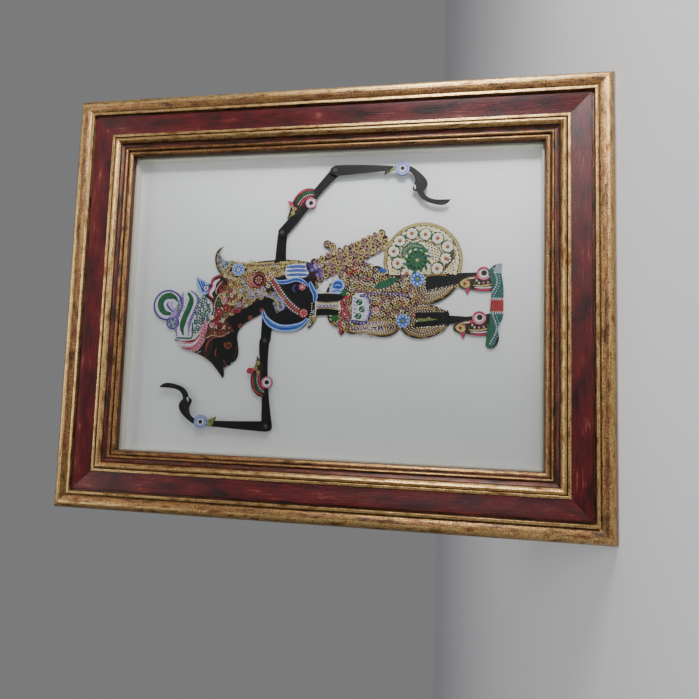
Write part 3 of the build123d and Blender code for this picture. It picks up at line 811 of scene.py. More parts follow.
def placed(flat: np.ndarray, depth: np.ndarray | float) -> np.ndarray:
    """Puts picture points (x, z) at a depth above the back plane into the row's frame."""
    depth = np.broadcast_to(depth, (len(flat),))
    return np.stack([flat[:, 0], -depth, flat[:, 1] + PICTURE_Z], axis=1)


def cad_edges(node: str) -> np.ndarray:
    """Finds the front outline of a flat CAD plate: the edges that its front face uses once.

    Args:
        node: the plate's CAD node.

    Returns:
        Edges (n, 2, 2) in picture millimetres, holes included, in no order.
    """
    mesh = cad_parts[node].data
    mesh.calc_loop_triangles()
    corners = np.zeros(len(mesh.vertices) * 3, np.float32)
    mesh.vertices.foreach_get("co", corners)
    tris = np.zeros(len(mesh.loop_triangles) * 3, np.int32)
    mesh.loop_triangles.foreach_get("vertices", tris)
    places, same = np.unique(np.round(corners.reshape(-1, 3) / MM, 3), axis=0, return_inverse=True)
    tris = same.ravel()[tris].reshape(-1, 3)
    a, b, c = (places[tris[:, i]] for i in range(3))
    normal = np.cross(b - a, c - a)
    front = tris[normal[:, 1] < -0.99 * np.linalg.norm(normal, axis=1)]
    ends = np.sort(front[:, [0, 1, 1, 2, 2, 0]].reshape(-1, 2), axis=1)
    pairs, uses = np.unique(ends, axis=0, return_counts=True)
    return places[pairs[uses == 1]][:, :, [0, 2]] - (0, PICTURE_Z)


# ---- the moulding ----------------------------------------------------------------------------
class Zone(Enum):
    """The bands of the moulding, each in its own finish. The gilt on the bead's inner slope, the
    small inner beads, the outer edge and the sight edge is a darker copy of the same gilt, as
    painted shade.
    """

    GOLD = GILT
    BEAD = GILT_WORN_AND_SHADED
    TONED = GILT_EDGE_WORN_AND_SHADED
    STAIN = SIZE_BROWN
    RED = RED_PANEL
    WOOD = RAIL_BACK


@dataclass
class Moulding:
    """The four rails: one profile, run along each side and mitred, its front uneven by hand.

    Attributes:
        bands: runs of the profile, each a finish and its points (x from the outer edge, height
            above the back plane); a run starts where the one before ended.
        soften: how far each corner of the profile is cut back, in millimetres.
        uneven: how far the front dips below its true height, in millimetres.
        step: spacing of the sections along a rail.
        smooth_angle: edges sharper than this stay sharp, in degrees.
    """

    bands: tuple[tuple[Zone, tuple[Point, ...]], ...] = (
        (Zone.WOOD, ((37.0, 0.0), (0.0, 0.0))),
        (Zone.STAIN, ((0.0, 9.0), (0.0, 16.6))),
        (Zone.TONED, ((0.0, 18.5), (0.16, 20.44))),
        (Zone.GOLD, ((0.63, 22.25), (1.38, 23.8), (2.35, 25.0), (3.49, 25.74), (4.7, 26.0))),
        (Zone.BEAD, ((6.4, 25.82), (7.95, 25.36), (9.3, 24.72), (10.4, 24.0))),
        (Zone.STAIN, ((11.2, 23.2),)),
        (Zone.GOLD, ((11.2, 25.7), (13.2, 25.8))),
        (Zone.STAIN, ((13.2, 23.2), (15.1, 23.2))),
        (Zone.RED, ((15.1, 24.8), (19.0, 23.87), (23.0, 22.92), (27.3, 21.9))),
        (Zone.GOLD, ((27.3, 22.5), (29.2, 22.5))),
        (Zone.STAIN, ((29.2, 21.3),)),
        (Zone.GOLD, ((30.1, 22.4), (31.4, 22.96), (32.5, 22.2), (33.2, 21.2))),
        (Zone.STAIN, ((33.6, 20.5), (34.0, 19.8), (34.65, 19.36), (35.8, 18.9), (36.6, 18.8))),
        (Zone.BEAD, ((37.1, 19.5), (37.7, 19.76), (38.3, 19.4))),
        (Zone.STAIN, ((38.8, 18.4), (38.8, 17.8))),
        (Zone.BEAD, ((39.6, 18.1), (40.4, 18.16), (41.2, 17.7))),
        (Zone.TONED, ((42.0, 16.7), (42.0, 12.8))),
        (Zone.WOOD, ((37.0, 12.8), (37.0, 0.0))),
    )
    soften: float = 0.3
    uneven: float = 0.16
    step: float = 2.5
    smooth_angle: float = 35

    def section(self) -> tuple[Loop, np.ndarray]:
        """Softens the corners of the profile.

        Returns:
            The closed profile, and each of its edges' zone number.
        """
        zones = list(Zone)
        points = np.array([p for _, run in self.bands for p in run])
        number = np.array([zones.index(zone) for zone, run in self.bands for _ in run])
        apart = np.linalg.norm(np.diff(points, axis=0), axis=1) > 1e-6
        keep = np.concatenate([[True], apart])
        points, number = points[keep], number[keep]
        if np.allclose(points[0], points[-1]):
            points, number = points[:-1], number[:-1]
        before, after = np.roll(points, 1, axis=0), np.roll(points, -1, axis=0)
        back = np.linalg.norm(before - points, axis=1, keepdims=True)
        ahead = np.linalg.norm(after - points, axis=1, keepdims=True)
        a = points + (before - points) / back * np.minimum(self.soften, back * 0.4)
        b = points + (after - points) / ahead * np.minimum(self.soften, ahead * 0.4)
        s = np.linspace(0, 1, CORNER_POINTS)[None, :, None]
        curve = (1 - s) ** 2 * a[:, None] + 2 * s * (1 - s) * points[:, None] + s ** 2 * b[:, None]
        return curve.reshape(-1, 2), np.repeat(number, CORNER_POINTS)

    def rail(self, node: str, start: Point, end: Point, seed: int) -> bpy.types.Object:
        """Runs the profile from one outer corner of the frame to the next and caps both mitres.

        A point's place along the rail runs evenly between the two mitre planes. The front dips
        by a sum of slow waves along and across, so it never rises above the true profile.

        Args:
            node: the CAD rail that this one replaces.
            start: the outer corner (x, z) that the rail starts from, in row millimetres.
            end: the outer corner that it runs to, clockwise seen from the front.
            seed: a number that sets this rail's own unevenness.

        Returns:
            The rail.
        """
        profile, zone = self.section()
        first, last = np.array(start), np.array(end)
        length = np.linalg.norm(last - first)
        along = (last - first) / length
        inward = np.array([along[1], -along[0]])
        count = int(length / self.step)
        share = np.linspace(0, 1, count + 1)[:, None]
        x, height = profile[None, :, 0], profile[None, :, 1]
        run = x + share * (length - 2 * x)
        waves = (np.sin(run / 7.1 + seed) * np.sin(x / 3.3 + seed * 2)
                 + np.sin(run / 3.7 + seed * 3 + x / 5) + np.sin(run / 19 + seed * 5))
        dip = self.uneven * (waves / 6 + 0.5) * (height > 14) * (x > 0.5) * (x < 41.5)
        flat = first + run[..., None] * along + x[..., None] * inward
        corners = np.stack([flat[..., 0], -(height - dip), flat[..., 1]], axis=-1).reshape(-1, 3)
        size = len(profile)
        row, col = np.arange(count)[:, None] * size, np.arange(size)
        after = (col + 1) % size
        walls = np.stack([row + col, row + after, row + size + after, row + size + col], axis=-1)
        caps = np.stack([np.arange(size), np.arange(size) + count * size])
        girth = np.concatenate([[0], np.cumsum(np.linalg.norm(np.diff(profile, axis=0), axis=1))])
        uv = np.stack([run + seed * 400, np.broadcast_to(girth, run.shape)], axis=-1)
        made = make_piece(node + "_moulding", Shape(corners, [walls.reshape(-1, 4), caps]),
                          [z.value for z in Zone], "frame",
                          [np.tile(zone, count), np.full(2, list(Zone).index(Zone.WOOD))],
                          uv.reshape(-1, 2), self.smooth_angle)
        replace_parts(made, node)
        return made

    def build(self) -> None:
        """Makes the four rails from the outer corners of the CAD rails, clockwise."""
        low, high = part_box("rail_left")[0] / MM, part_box("rail_right")[1] / MM
        corners = [(low.x, low.z), (low.x, high.z), (high.x, high.z), (high.x, low.z)]
        for seed, node in enumerate(("rail_left", "rail_top", "rail_right", "rail_bottom")):
            self.rail(node, corners[seed], corners[(seed + 1) % 4], seed + 1)


# ---- sheets and hardware that keep their CAD shape ---------------------------------------------
@dataclass(frozen=True)
class Dressing:
    """A finish for CAD nodes, and how far their edges are rounded in millimetres."""

    finish: Finish
    nodes: tuple[str, ...]
    edge: float = 0.0

    def apply(self) -> None:
        """Gives each node the finish, and rounds its edges over two steps."""
        for node in self.nodes:
            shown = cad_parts[node]
            shown.data.materials.clear()
            shown.data.materials.append(self.finish.material())
            if self.edge:
                weld = shown.modifiers.new("weld", "WELD")
                weld.merge_threshold = 1e-6
                bevel = shown.modifiers.new("rounded", "BEVEL")
                bevel.width, bevel.segments = self.edge * MM, 2
                bevel.limit_method, bevel.angle_limit = "ANGLE", math.radians(50)
                bevel.harden_normals = True


@dataclass
class PictureSheets:
    """What lies in the rebate: glass, card spacers, mount board, back panel."""

    dressings: tuple[Dressing, ...] = (
        Dressing(PICTURE_GLASS, ("glass_pane",), 0.15),
        Dressing(SPACER_CARD, ("spacer_top", "spacer_bottom", "spacer_left", "spacer_right")),
        Dressing(BOARD_PAPER, ("mount_board",)),
        Dressing(HARDBOARD, ("back_panel",), 0.2),
    )

    def build(self) -> None:
        """Dresses every sheet."""
        for dressing in self.dressings:
            dressing.apply()


@dataclass
class BackHardware:
    """Hanger, turn buttons, screws, corner nails, bumpers and pads."""

    dressings: tuple[Dressing, ...] = (
        Dressing(BRASS, ("hanger_strap",), 0.12),
        Dressing(BRASS, ("hanger_ring", "hanger_screws")),
        Dressing(ZINC, ("turn_button_1", "turn_button_2", "turn_button_3", "turn_button_4",
                        "button_screws")),
        Dressing(NAIL_STEEL, ("corner_nails",)),
        Dressing(FELT, ("wall_bumpers",), 0.5),
        Dressing(FOAM, ("mounting_pads",), 0.15),
    )

    def build(self) -> None:
        """Dresses every fitting."""
        for dressing in self.dressings:
            dressing.apply()


# ---- painted leather -------------------------------------------------------------------------
@dataclass
class Stroke:
    """A raised line: its middle, its width along the way, and how far it stands up."""

    path: Loop
    width: np.ndarray
    height: float

    def covered(self, edges: np.ndarray) -> list["Stroke"]:
        """Leaves out what a new region covers.

        Args:
            edges: the region's closed edges.

        Returns:
            The stretches that stay.
        """
        free = ~inside(self.path, edges)
        if free.all():
            return [self]
        cuts = np.flatnonzero(np.diff(free.astype(int))) + 1
        stretches = zip(np.split(self.path, cuts), np.split(self.width, cuts),
                        np.split(free, cuts))
        return [Stroke(path, width, self.height) for path, width, keep in stretches
                if keep[0] and len(path) > 1]

    def shape(self, front: float) -> Shape:
        """Makes its mesh on a plate's front."""
        return raised_line(self.path, self.width, front, self.height)


@dataclass
class Dots:
    """Raised dots of one size."""

    centres: np.ndarray
    radius: float
    height: float

    def covered(self, edges: np.ndarray) -> list["Dots"]:
        """Returns the dots that a new region leaves uncovered."""
        left = self.centres[~inside(self.centres, edges)]
        return [Dots(left, self.radius, self.height)] if len(left) else []

    def shape(self, front: float) -> Shape:
        """Makes their mesh on a plate's front."""
        return domes(self.centres, self.radius, front, self.height)


@dataclass
class Leather:
    """One cut hide plate: painted regions, pierced holes, and raised lines and dots of paint.

    Later regions cover earlier ones, and later lines lie over earlier ones. The plate's outline
    is its CAD node's. Everything is drawn in picture millimetres.

    Attributes:
        node: the CAD plate that it replaces.
        body: the body that it moves with.
        base: the paint where nothing else is drawn.
        edge: the colour of the cut edge.
    """

    node: str
    body: str
    base: Paint
    edge: Paint = Paint.UMBER
    regions: list[tuple[Paint, np.ndarray]] = field(default_factory=list)
    holes: list[Dots] = field(default_factory=list)
    raised: list[tuple[Paint, Stroke | Dots]] = field(default_factory=list)
    layer: int = 0

    def __post_init__(self) -> None:
        """Reads the plate's two faces and its outline from the CAD node."""
        low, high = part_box(self.node)
        self.front, self.back = -low.y / MM, -high.y / MM
        self.outline = cad_edges(self.node)

    def lift(self, width: float) -> float:
        """Returns the next line's height: later ones and thinner ones stand a little higher."""
        self.layer += 1
        return LINE_LIFT + LAYER_LIFT * self.layer + THIN_LIFT * (WIDE_LINE - min(width, WIDE_LINE))

    def region(self, paint: Paint, points: Sequence[Point], smooth: bool = True) -> Loop:
        """Paints the inside of a closed curve.

        Args:
            paint: the paint.
            points: points on the curve.
            smooth: False for straight lines between the points.

        Returns:
            The curve.
        """
        loop = curve_through(points, REGION_STEP, True) if smooth else np.array(points, float)
        self.cover(paint, sides(loop))
        return loop

    def cover(self, paint: Paint, edges: np.ndarray) -> None:
        """Paints the inside of closed edges over everything that was there.

        Args:
            paint: the paint.
            edges: the edges (n, 2, 2).
        """
        self.regions.append((paint, edges))
        self.raised = [(one, left) for one, what in self.raised for left in what.covered(edges)]
        self.holes = [left for hole in self.holes for left in hole.covered(edges)]

    def spot(self, paint: Paint, x: float, z: float, radius: float) -> None:
        """Paints a flat disc."""
        self.cover(paint, sides(ring(x, z, radius, DISC_SIDES)))

    def target(self, x: float, z: float, *discs: tuple[Paint, float]) -> None:
        """Paints discs about one middle, each a paint and a radius, the largest first."""
        for paint, radius in discs:
            self.spot(paint, x, z, radius)

    def line(self, paint: Paint, width: float, points: Sequence[Point],
             taper: tuple[float, float] = (1.0, 1.0), closed: bool = False) -> Loop:
        """Lays a raised line.

        Args:
            paint: the paint.
            width: the line's full width.
            points: points on its middle.
            taper: the widths of its two ends, as shares of the full width.
            closed: whether it returns to its first point.

        Returns:
            Its middle.
        """
        path = curve_through(points, LINE_STEP, closed)
        if closed:
            path = np.concatenate([path, path[:2]])
        self.path(paint, width, path, taper)
        return path

    def path(self, paint: Paint, width: float, path: Loop,
             taper: tuple[float, float] = (1.0, 1.0)) -> None:
        """Lays a raised line on a ready-made path.

        Args:
            paint: the paint.
            width: the line's full width.
            path: its middle.
            taper: the widths of its two ends, as shares of the full width.
        """
        share = np.linspace(0, 1, len(path))
        swell = np.minimum(1, np.minimum(taper[0] + share * 4 * (1 - taper[0]),
                                         taper[1] + (1 - share) * 4 * (1 - taper[1])))
        height = self.lift(width)
        self.raised.append((paint, Stroke(path, width * swell, height)))

    def dots(self, paint: Paint, radius: float, centres: np.ndarray | Sequence[Point],
             rise: float = DOT_RISE) -> None:
        """Lays raised dots.

        Args:
            paint: the paint.
            radius: the radius of each.
            centres: their middles.
            rise: how far they stand above a line as wide.
        """
        centres = np.array(centres, float).reshape(-1, 2)
        if len(centres):
            height = self.lift(2 * radius) + rise
            self.raised.append((paint, Dots(centres, radius, height)))

    def motley(self, centres: np.ndarray, radius: float, paints: Sequence[Paint]) -> None:
        """Lays raised dots whose paints follow one another in a fixed shuffled order.

        Args:
            centres: their middles.
            radius: the radius of each.
            paints: the paints.
        """
        order = (np.arange(len(centres)) * 5 + np.arange(len(centres)) // 3) % len(paints)
        for number, paint in enumerate(paints):
            self.dots(paint, radius, centres[order == number])

    def beads(self, paint: Paint, radius: float, points: Sequence[Point], pitch: float,
              closed: bool = False) -> None:
        """Lays a row of raised dots along a curve."""
        self.dots(paint, radius, curve_through(points, pitch, closed))

    def fringe(self, paint: Paint, width: float, points: Sequence[Point], pitch: float,
               length: float, lean: float = 0.0) -> None:
        """Lays short strokes across a curve, half of each on either side.

        Args:
            paint: the paint.
            width: the width of a stroke.
            points: points on the curve.
            pitch: the distance between strokes.
            length: the length of a stroke.
            lean: how far a stroke leans along the curve, as a share of its length.
        """
        path = curve_through(points, pitch)
        slope = np.gradient(path, axis=0)
        slope /= np.maximum(np.linalg.norm(slope, axis=1, keepdims=True), 1e-9)
        across = np.stack([-slope[:, 1], slope[:, 0]], axis=1) + lean * slope
        for start, end in zip(path - across * length / 2, path + across * length / 2):
            self.path(paint, width, curve_through([start, end], 0.8), (0.4, 0.4))

    def pierce(self, centres: np.ndarray, radius: float) -> None:
        """Punches small round holes through the hide."""
        self.holes.append(Dots(np.array(centres, float).reshape(-1, 2), radius, 0.0))

    def curls(self, outline: Paint, fill: Sequence[Paint], centres: np.ndarray, radius: float,
              width: float) -> None:
        """Draws small scrolls, each a flat disc with a raised spiral line on it.

        Args:
            outline: the lines' paint.
            fill: the discs' paints, in turn.
            centres: their middles.
            radius: the radius of each.
            width: the lines' width.
        """
        for number, (x, z) in enumerate(np.array(centres, float).reshape(-1, 2)):
            disc = ring(x, z, radius * 0.92, CURL_SIDES)
            self.regions.append((fill[number % len(fill)], sides(disc)))
            scroll = spiral(x, z, radius, 1.15, 40 + 137 * (number % 5), 1, 0.3)
            self.path(outline, width, scroll, (1.0, 0.5))

    def flower(self, x: float, z: float, radius: float, petals: int, petal: Paint, rim: Paint,
               heart: Paint, ground: Paint | None = None) -> None:
        """Draws a flower: a dot of the rim's paint under each petal, the petals, and a heart.

        Args:
            x: the middle's place across.
            z: the middle's place up.
            radius: the flower's radius.
            petals: how many petals.
            petal: the petals' paint.
            rim: the paint around them.
            heart: the heart's paint.
            ground: the paint of a disc under it all, if there is one.
        """
        angle = np.arange(petals) / petals * 2 * np.pi
        reach = np.stack([np.cos(angle), np.sin(angle)], axis=1)
        if ground is not None:
            self.spot(ground, x, z, radius * 1.08)
        self.dots(rim, radius * 0.44, (x, z) + reach * radius * 0.66, 0.0)
        self.dots(petal, radius * 0.27, (x, z) + reach * radius * 0.72, 0.06)
        self.dots(heart, radius * 0.36, [(x, z)], 0.08)

    def build(self) -> None:
        """Cuts, paints and raises the plate, as one sheet and one set of raised paint."""
        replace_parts(self.sheet(), self.node)
        if self.raised:
            used = sorted({paint for paint, _ in self.raised}, key=lambda paint: paint.name)
            ordered = sorted(self.raised, key=lambda pair: used.index(pair[0]))
            shape, zones = self.gathered([(paint, what.shape(self.front))
                                          for paint, what in ordered], used)
            make_piece(self.node + "_paintwork", shape, used, self.body,
                       zones, smooth_angle=60)

    @staticmethod
    def gathered(raised: list[tuple[Paint, Shape]],
                 used: list[Paint]) -> tuple[Shape, list[np.ndarray]]:
        """Joins raised shapes into one.

        Args:
            raised: each shape with its paint.
            used: the paints in the order of the material slots.

        Returns:
            The shape, and each face's paint number.
        """
        shape = Shape.joined([one for _, one in raised])
        by_count: dict[int, list[np.ndarray]] = {}
        for paint, one in raised:
            for block in one.faces:
                by_count.setdefault(block.shape[1], []).append(
                    np.full(len(block), used.index(paint)))
        return shape, [np.concatenate(blocks) for blocks in by_count.values()]

    def sheet(self) -> bpy.types.Object:
        """Triangulates the plate within its outline, holes and regions, and gives it thickness.

        A triangle belongs to the plate where its middle is inside the outline and outside every
        hole, and takes the paint of the last region that its middle is inside.

        Returns:
            The piece.
        """
        holes = [sides(ring(x, z, hole.radius, HOLE_SIDES)) for hole in self.holes
                 for x, z in hole.centres]
        edges = np.concatenate([self.outline] + holes + [edges for _, edges in self.regions])
        ends = [Vector(p) for p in edges.reshape(-1, 2).tolist()]
        pairs = [(i, i + 1) for i in range(0, len(ends), 2)]
        found = delaunay_2d_cdt(ends, pairs, [], 0, 1e-3)
        flat, tris = np.array(found[0], float), np.array(found[2], int)
        middle = flat[tris].mean(axis=1)
        keep = inside(middle, self.outline)
        for hole in holes:
            keep &= ~inside(middle, hole)
        tris, middle = tris[keep], middle[keep]
        paints = list(Paint)
        zone = np.full(len(tris), paints.index(self.base))
        for paint, region in self.regions:
            zone[inside(middle, region)] = paints.index(paint)
        kept, tris = np.unique(tris, return_inverse=True)
        flat, tris = flat[kept], tris.reshape(-1, 3)
        count = len(flat)
        a, b = tris.ravel(), np.roll(tris, -1, axis=1).ravel()
        rim = ~np.isin(a * count + b, b * count + a)
        a, b = a[rim], b[rim]
        corners = np.concatenate([placed(flat, self.front), placed(flat, self.back)])
        shape = Shape(corners, [np.concatenate([tris, tris[:, ::-1] + count]),
                                np.stack([b, a, a + count, b + count], axis=1)])
        number, zone = np.unique(zone, return_inverse=True)
        finishes = [paints[i] for i in number] + [self.edge]
        return make_piece(self.node + "_hide", shape, finishes, self.body,
                          [np.tile(zone, 2), np.full(len(a), len(number))], smooth_angle=30)


# ---- the figure ------------------------------------------------------------------------------
@dataclass
class FigureBody:
    """Head, neck, back wing, chest, skirts, train, fan, legs and ground strip, in one plate."""

    hide: Leather = field(default_factory=lambda: Leather("puppet_body", "frame", Paint.UMBER))

    def build(self) -> None:
        """Draws every part of the body, each over those before it, then makes it."""
        for draw in (self.back_wing, self.shoulders, self.neck_and_chest, self.head_dress,
                self.face, self.train, self.fan, self.skirt, self.waist, self.ribbon, self.legs,
                self.ground):
            draw()
        self.hide.build()

    def head_dress(self) -> None:
        """The rolled hair with its great scroll, lace below it, and the crest in front."""
        hide = self.hide
        hair = hide.region(Paint.WHITE, [(-27, 113), (-14, 113), (-3, 110), (7, 110), (9.6, 104),
            (8.5, 97), (6, 93), (-2, 84), (-16, 88), (-27, 97)])
        roll = [(-24.4, 106.6), (-18, 108), (-10, 105.8), (-3, 102.8), (3, 101.8), (7.6, 104.6)]
        upper = [(-25.5, 111.6), (-18, 113), (-11, 111.8), (-4, 109), (2, 108.6), (8, 108.8)]
        lower = [(-24.8, 102.6), (-16, 102.2), (-8, 99.4), (0, 96.4), (5.6, 97.6), (9, 102.6)]
        lace = lattice(hair, 1.75, 0.4, 15)
        for path, gap in ((roll, 3.0), (upper, 1.7), (lower, 1.7)):
            lace = clear_of(lace, curve_through(path, 1), gap)
        hide.motley(lace, 0.5, (Paint.LILAC, Paint.ASH, Paint.WHITE, Paint.LILAC, Paint.VIOLET))
        hide.target(-1.9, 120.2, (Paint.VIOLET, 11.9), (Paint.WHITE, 10.4))
        hide.target(-15, 115.5, (Paint.VIOLET, 5.3), (Paint.LILAC, 4.1))
        hide.region(Paint.LILAC, [(-12, 116), (-10, 111), (-3, 109.5), (3, 111), (-2, 113),
            (-9, 118)])
        hide.line(Paint.GREEN, 5.0, [(-8.4, 117.6), (-7.6, 122.4), (-4, 125.4), (0, 126),
            (3.8, 123.6), (5.2, 119.6), (4, 115), (0.6, 112.2)], (0.5, 0.2))
        hide.line(Paint.TEAL, 1.6, [(-7.4, 120), (-5.6, 124), (-1.6, 125.8), (2.8, 123.6),
            (4.6, 119), (3.6, 115.4)], (0.4, 0.3))
        hide.line(Paint.VIOLET, 1.6, [(-7, 115.6), (-4.4, 118.6), (-1.6, 120.6), (0.6, 119.6)],
            (0.5, 0.3))
        hide.line(Paint.LILAC, 1.0, [(-5.4, 114.4), (-2.6, 117), (0, 117.4), (1, 115.6)],
            (0.4, 0.4))
        hide.line(Paint.OLIVE, 1.6, [(-8, 112.6), (-4, 111.6), (0, 112)], (0.3, 0.3))
        outer = ring(-1.9, 120.2, 11.0, 40)[4:33]
        hide.dots(Paint.VIOLET, 0.75, outer[::1])
        hide.dots(Paint.LILAC, 0.4, ring(-1.9, 120.2, 9.5, 30)[3:25])
        for x, z in ((-17.4, 116.4), (-14.6, 117.8), (-12.6, 115.2), (-16, 113.4)):
            hide.line(Paint.GREEN, 1.1, [(x - 1.1, z - 0.6), (x, z + 0.7), (x + 1.1, z - 0.4)])
        hide.line(Paint.GREEN, 4.6, roll, (0.25, 0.4))
        hide.line(Paint.TEAL, 1.3, [(-22, 107.4), (-16, 107.8), (-9, 105.6), (-2, 102.8),
            (4, 102)], (0.3, 0.3))
        for edge in (upper, lower):
            hide.line(Paint.VIOLET, 2.1, edge, (0.4, 0.4))
            hide.beads(Paint.WHITE, 0.5, edge, 1.9)
        leaves = lattice(curve_through([(-25, 99), (-8, 99), (0, 95.6), (8, 96), (6, 92), (0, 85),
            (-8, 84.6), (-18, 89)], 1, True), 3.8, 0.8, 25)
        hide.curls(Paint.GREEN, (Paint.WHITE, Paint.LILAC, Paint.WHITE), leaves, 1.75, 1.15)
        hide.motley(leaves + (1.9, 1.1), 0.6, (Paint.VIOLET, Paint.TEAL, Paint.UMBER))
        hide.beads(Paint.GREEN, 0.6, [(-23, 94), (-18, 91.6), (-12, 87.6), (-4, 87), (3, 86.6)],
            1.8)
        hide.line(Paint.GREEN, 1.3, [(-26.4, 112), (-26.6, 106), (-26.2, 100), (-21, 99.8),
            (-15, 99.6)])
        hide.region(Paint.PINK, [(-34.4, 105), (-32.4, 110), (-29, 112.6), (-28.6, 104),
            (-28.2, 98), (-22, 94), (-16, 91.6), (-14, 88.4), (-24, 88), (-33.6, 93), (-36.6, 98)])
        for shift in (0.0, 2.6, 5.0):
            hide.line((Paint.ROSE, Paint.WHITE, Paint.RED)[int(shift // 2)], 1.3,
                [(-33.8 + shift, 108), (-34 + shift, 100), (-30.6 + shift * 0.8, 95.6), (-25.4 +
                shift * 0.5, 93.4 - shift * 0.2), (-21, 91 + shift * 0.2)], (0.4, 0.4))
        hide.fringe(Paint.MAROON, 0.6, [(-34.6, 106), (-35.4, 98.6), (-31, 94), (-25, 91.4),
            (-18, 90)], 2.6, 2.2, 0.4)
        hide.beads(Paint.WHITE, 0.55, [(-32.4, 107), (-32.8, 100), (-29.6, 95.4), (-24, 92.8)],
            1.6)
        hide.beads(Paint.ROSE, 0.7, [(-35, 97), (-31, 92.4), (-24, 90), (-17, 90), (-13, 92)], 1.9)
        hide.beads(Paint.RED, 0.75, [(-13.4, 88.6), (-8, 85), (-2, 84.4), (3, 87.4)], 1.8)
        edging = [(-35.6, 96), (-38.6, 91.4), (-42.6, 86.4)]
        hide.beads(Paint.OCHRE, 0.7, edging, 2.2)
        hide.beads(Paint.SKY, 0.45, [(x + 2, z + 0.6) for x, z in edging], 2.2)
        hide.region(Paint.UMBER, [(2, 87), (6, 90), (13, 88.6), (19.6, 85.6), (20.8, 80), (16, 74),
            (8, 76), (2, 81)])
        hide.line(Paint.WHITE, 2.6, [(4, 85), (7.4, 86.8), (11, 84.6), (15, 83.8), (18, 80)],
            (0.4, 0.4))
        hide.line(Paint.ROSE, 1.2, [(3, 84), (6, 88), (10, 87.4), (12.4, 85.6), (16, 86),
            (19.6, 83), (20, 78.6)], (0.5, 0.3))
        hide.line(Paint.PINK, 1.1, [(5, 81.4), (9, 82.6), (13, 80.8), (16.6, 77.6)], (0.4, 0.4))
        hide.line(Paint.RED, 0.9, [(7, 79), (11, 79.8), (14.6, 77)], (0.4, 0.4))
        hide.region(Paint.SKY, [(6, 93), (12, 97), (20, 98.5), (16.5, 93), (14, 88.6), (8, 88.6)])
        for spread in (0.0, 1.3, 2.6):
            hide.line(Paint.BLUE, 1.2, [(8 + spread, 92.6 - spread), (13 + spread * 0.7, 95 -
                spread), (18.6 - spread * 0.6, 97.8 - spread * 2)], (1, 0.2))
        hide.spot(Paint.WHITE, 11, 90.5, 2.6)
        hide.line(Paint.VIOLET, 1.0, ring(11, 90.5, 2.3, 10).tolist(), closed=True)
        hide.dots(Paint.VIOLET, 0.9, [(11, 90.5)])

    def face(self) -> None:
        """A plain black profile with brick red scrolls, and a dense ear ornament behind it."""
        hide = self.hide
        hide.region(Paint.BROWN, [(-27, 90), (-14, 87), (-4, 84), (6, 82), (14, 76), (4, 62),
            (-6, 62), (-12, 74), (-22, 66), (-27, 76)], False)
        hide.region(Paint.BLACK, [(-36.6, 92.4), (-44, 84), (-50, 78.5), (-56, 74), (-47, 71),
            (-43, 65), (-36, 62.6), (-27, 63), (-21, 64), (-22, 71), (-25.4, 77), (-25, 83),
            (-28, 89), (-32, 90.6)], False)
        hide.region(Paint.UMBER, [(-38.4, 92), (-34, 89.6), (-29, 88.6), (-25, 84), (-31, 83),
            (-40, 86)])
        hide.line(Paint.BRICK, 1.2, [(-36, 88.4), (-31, 87.6), (-26.4, 84), (-25.4, 80)],
            (0.3, 0.4))
        hide.path(Paint.BRICK, 1.1, spiral(-31, 71, 3.0, 1.3, 60, 1, 0.2), (1, 0.4))
        hide.line(Paint.BRICK, 0.8, [(-40, 79.8), (-37, 81), (-33, 79.8)], (0.3, 0.3))
        hide.line(Paint.BRICK, 0.7, [(-47, 72.4), (-44.6, 72.9), (-42, 74.4)], (0.4, 0.3))
        hide.beads(Paint.BRICK, 0.5, [(-40.6, 66.2), (-37, 65), (-33, 64.8)], 1.8)
        patch = curve_through([(-21, 83), (-8, 82), (5, 81), (13, 76), (5, 63), (-5, 63),
            (-11, 73), (-20, 71)], 1, True)
        cells = lattice(patch, 3.1, 0.5, 25)
        for number, paint in enumerate((Paint.BRICK, Paint.CREAM, Paint.ROSE, Paint.OLIVE,
                Paint.OCHRE)):
            hide.curls(paint, (Paint.UMBER, Paint.MAROON, Paint.BROWN), cells[number::5], 1.5, 0.75)
        hide.motley(cells + (1.55, 0.9), 0.45, (Paint.CREAM, Paint.GREEN, Paint.BLUE, Paint.WHITE,
            Paint.RED))
        ear = ((-22.4, 82, 3.0, Paint.BRICK), (-22.6, 75.6, 2.8, Paint.BRICK), (-18.6, 71, 2.4,
            Paint.MAROON), (-17.4, 78.6, 2.4, Paint.MAROON), (-17, 84.4, 2.2, Paint.PINK), (-12,
            80.6, 2.4, Paint.RED), (-6.6, 79.6, 2.6, Paint.ROSE), (-9.4, 74.6, 2.2, Paint.OLIVE),
            (-3.6, 74.4, 2.4, Paint.RED), (-1, 79.4, 2.2, Paint.GREEN), (2.4, 74.8, 2.0,
            Paint.PINK), (-5.4, 69.2, 2.2, Paint.BRICK), (0.6, 68.6, 2.0, Paint.OCHRE), (5, 78.6,
            2.2, Paint.OCHRE), (-11.4, 85, 1.8, Paint.CREAM), (-1.4, 63.6, 1.9, Paint.LILAC))
        for number, (x, z, r, paint) in enumerate(ear):
            hide.spot(Paint.UMBER, x, z, r)
            hide.path(paint, 1.15, spiral(x, z, r, 1.2, 70 * number, 1, 0.25), (1, 0.5))
            hide.dots((Paint.CREAM, Paint.ROSE)[number % 2], 0.55, [(x, z)])
        hide.beads(Paint.CREAM, 0.5, [(-26, 88), (-24, 83.4), (-25, 77.6), (-22, 71)], 1.5)
        hide.beads(Paint.WHITE, 0.5, [(-15, 87), (-8, 83.4), (0, 83), (6, 80.6)], 1.6)
        hide.beads(Paint.PINK, 0.5, [(-13.6, 76), (-8, 71.4), (-3, 66), (1, 60)], 1.7)

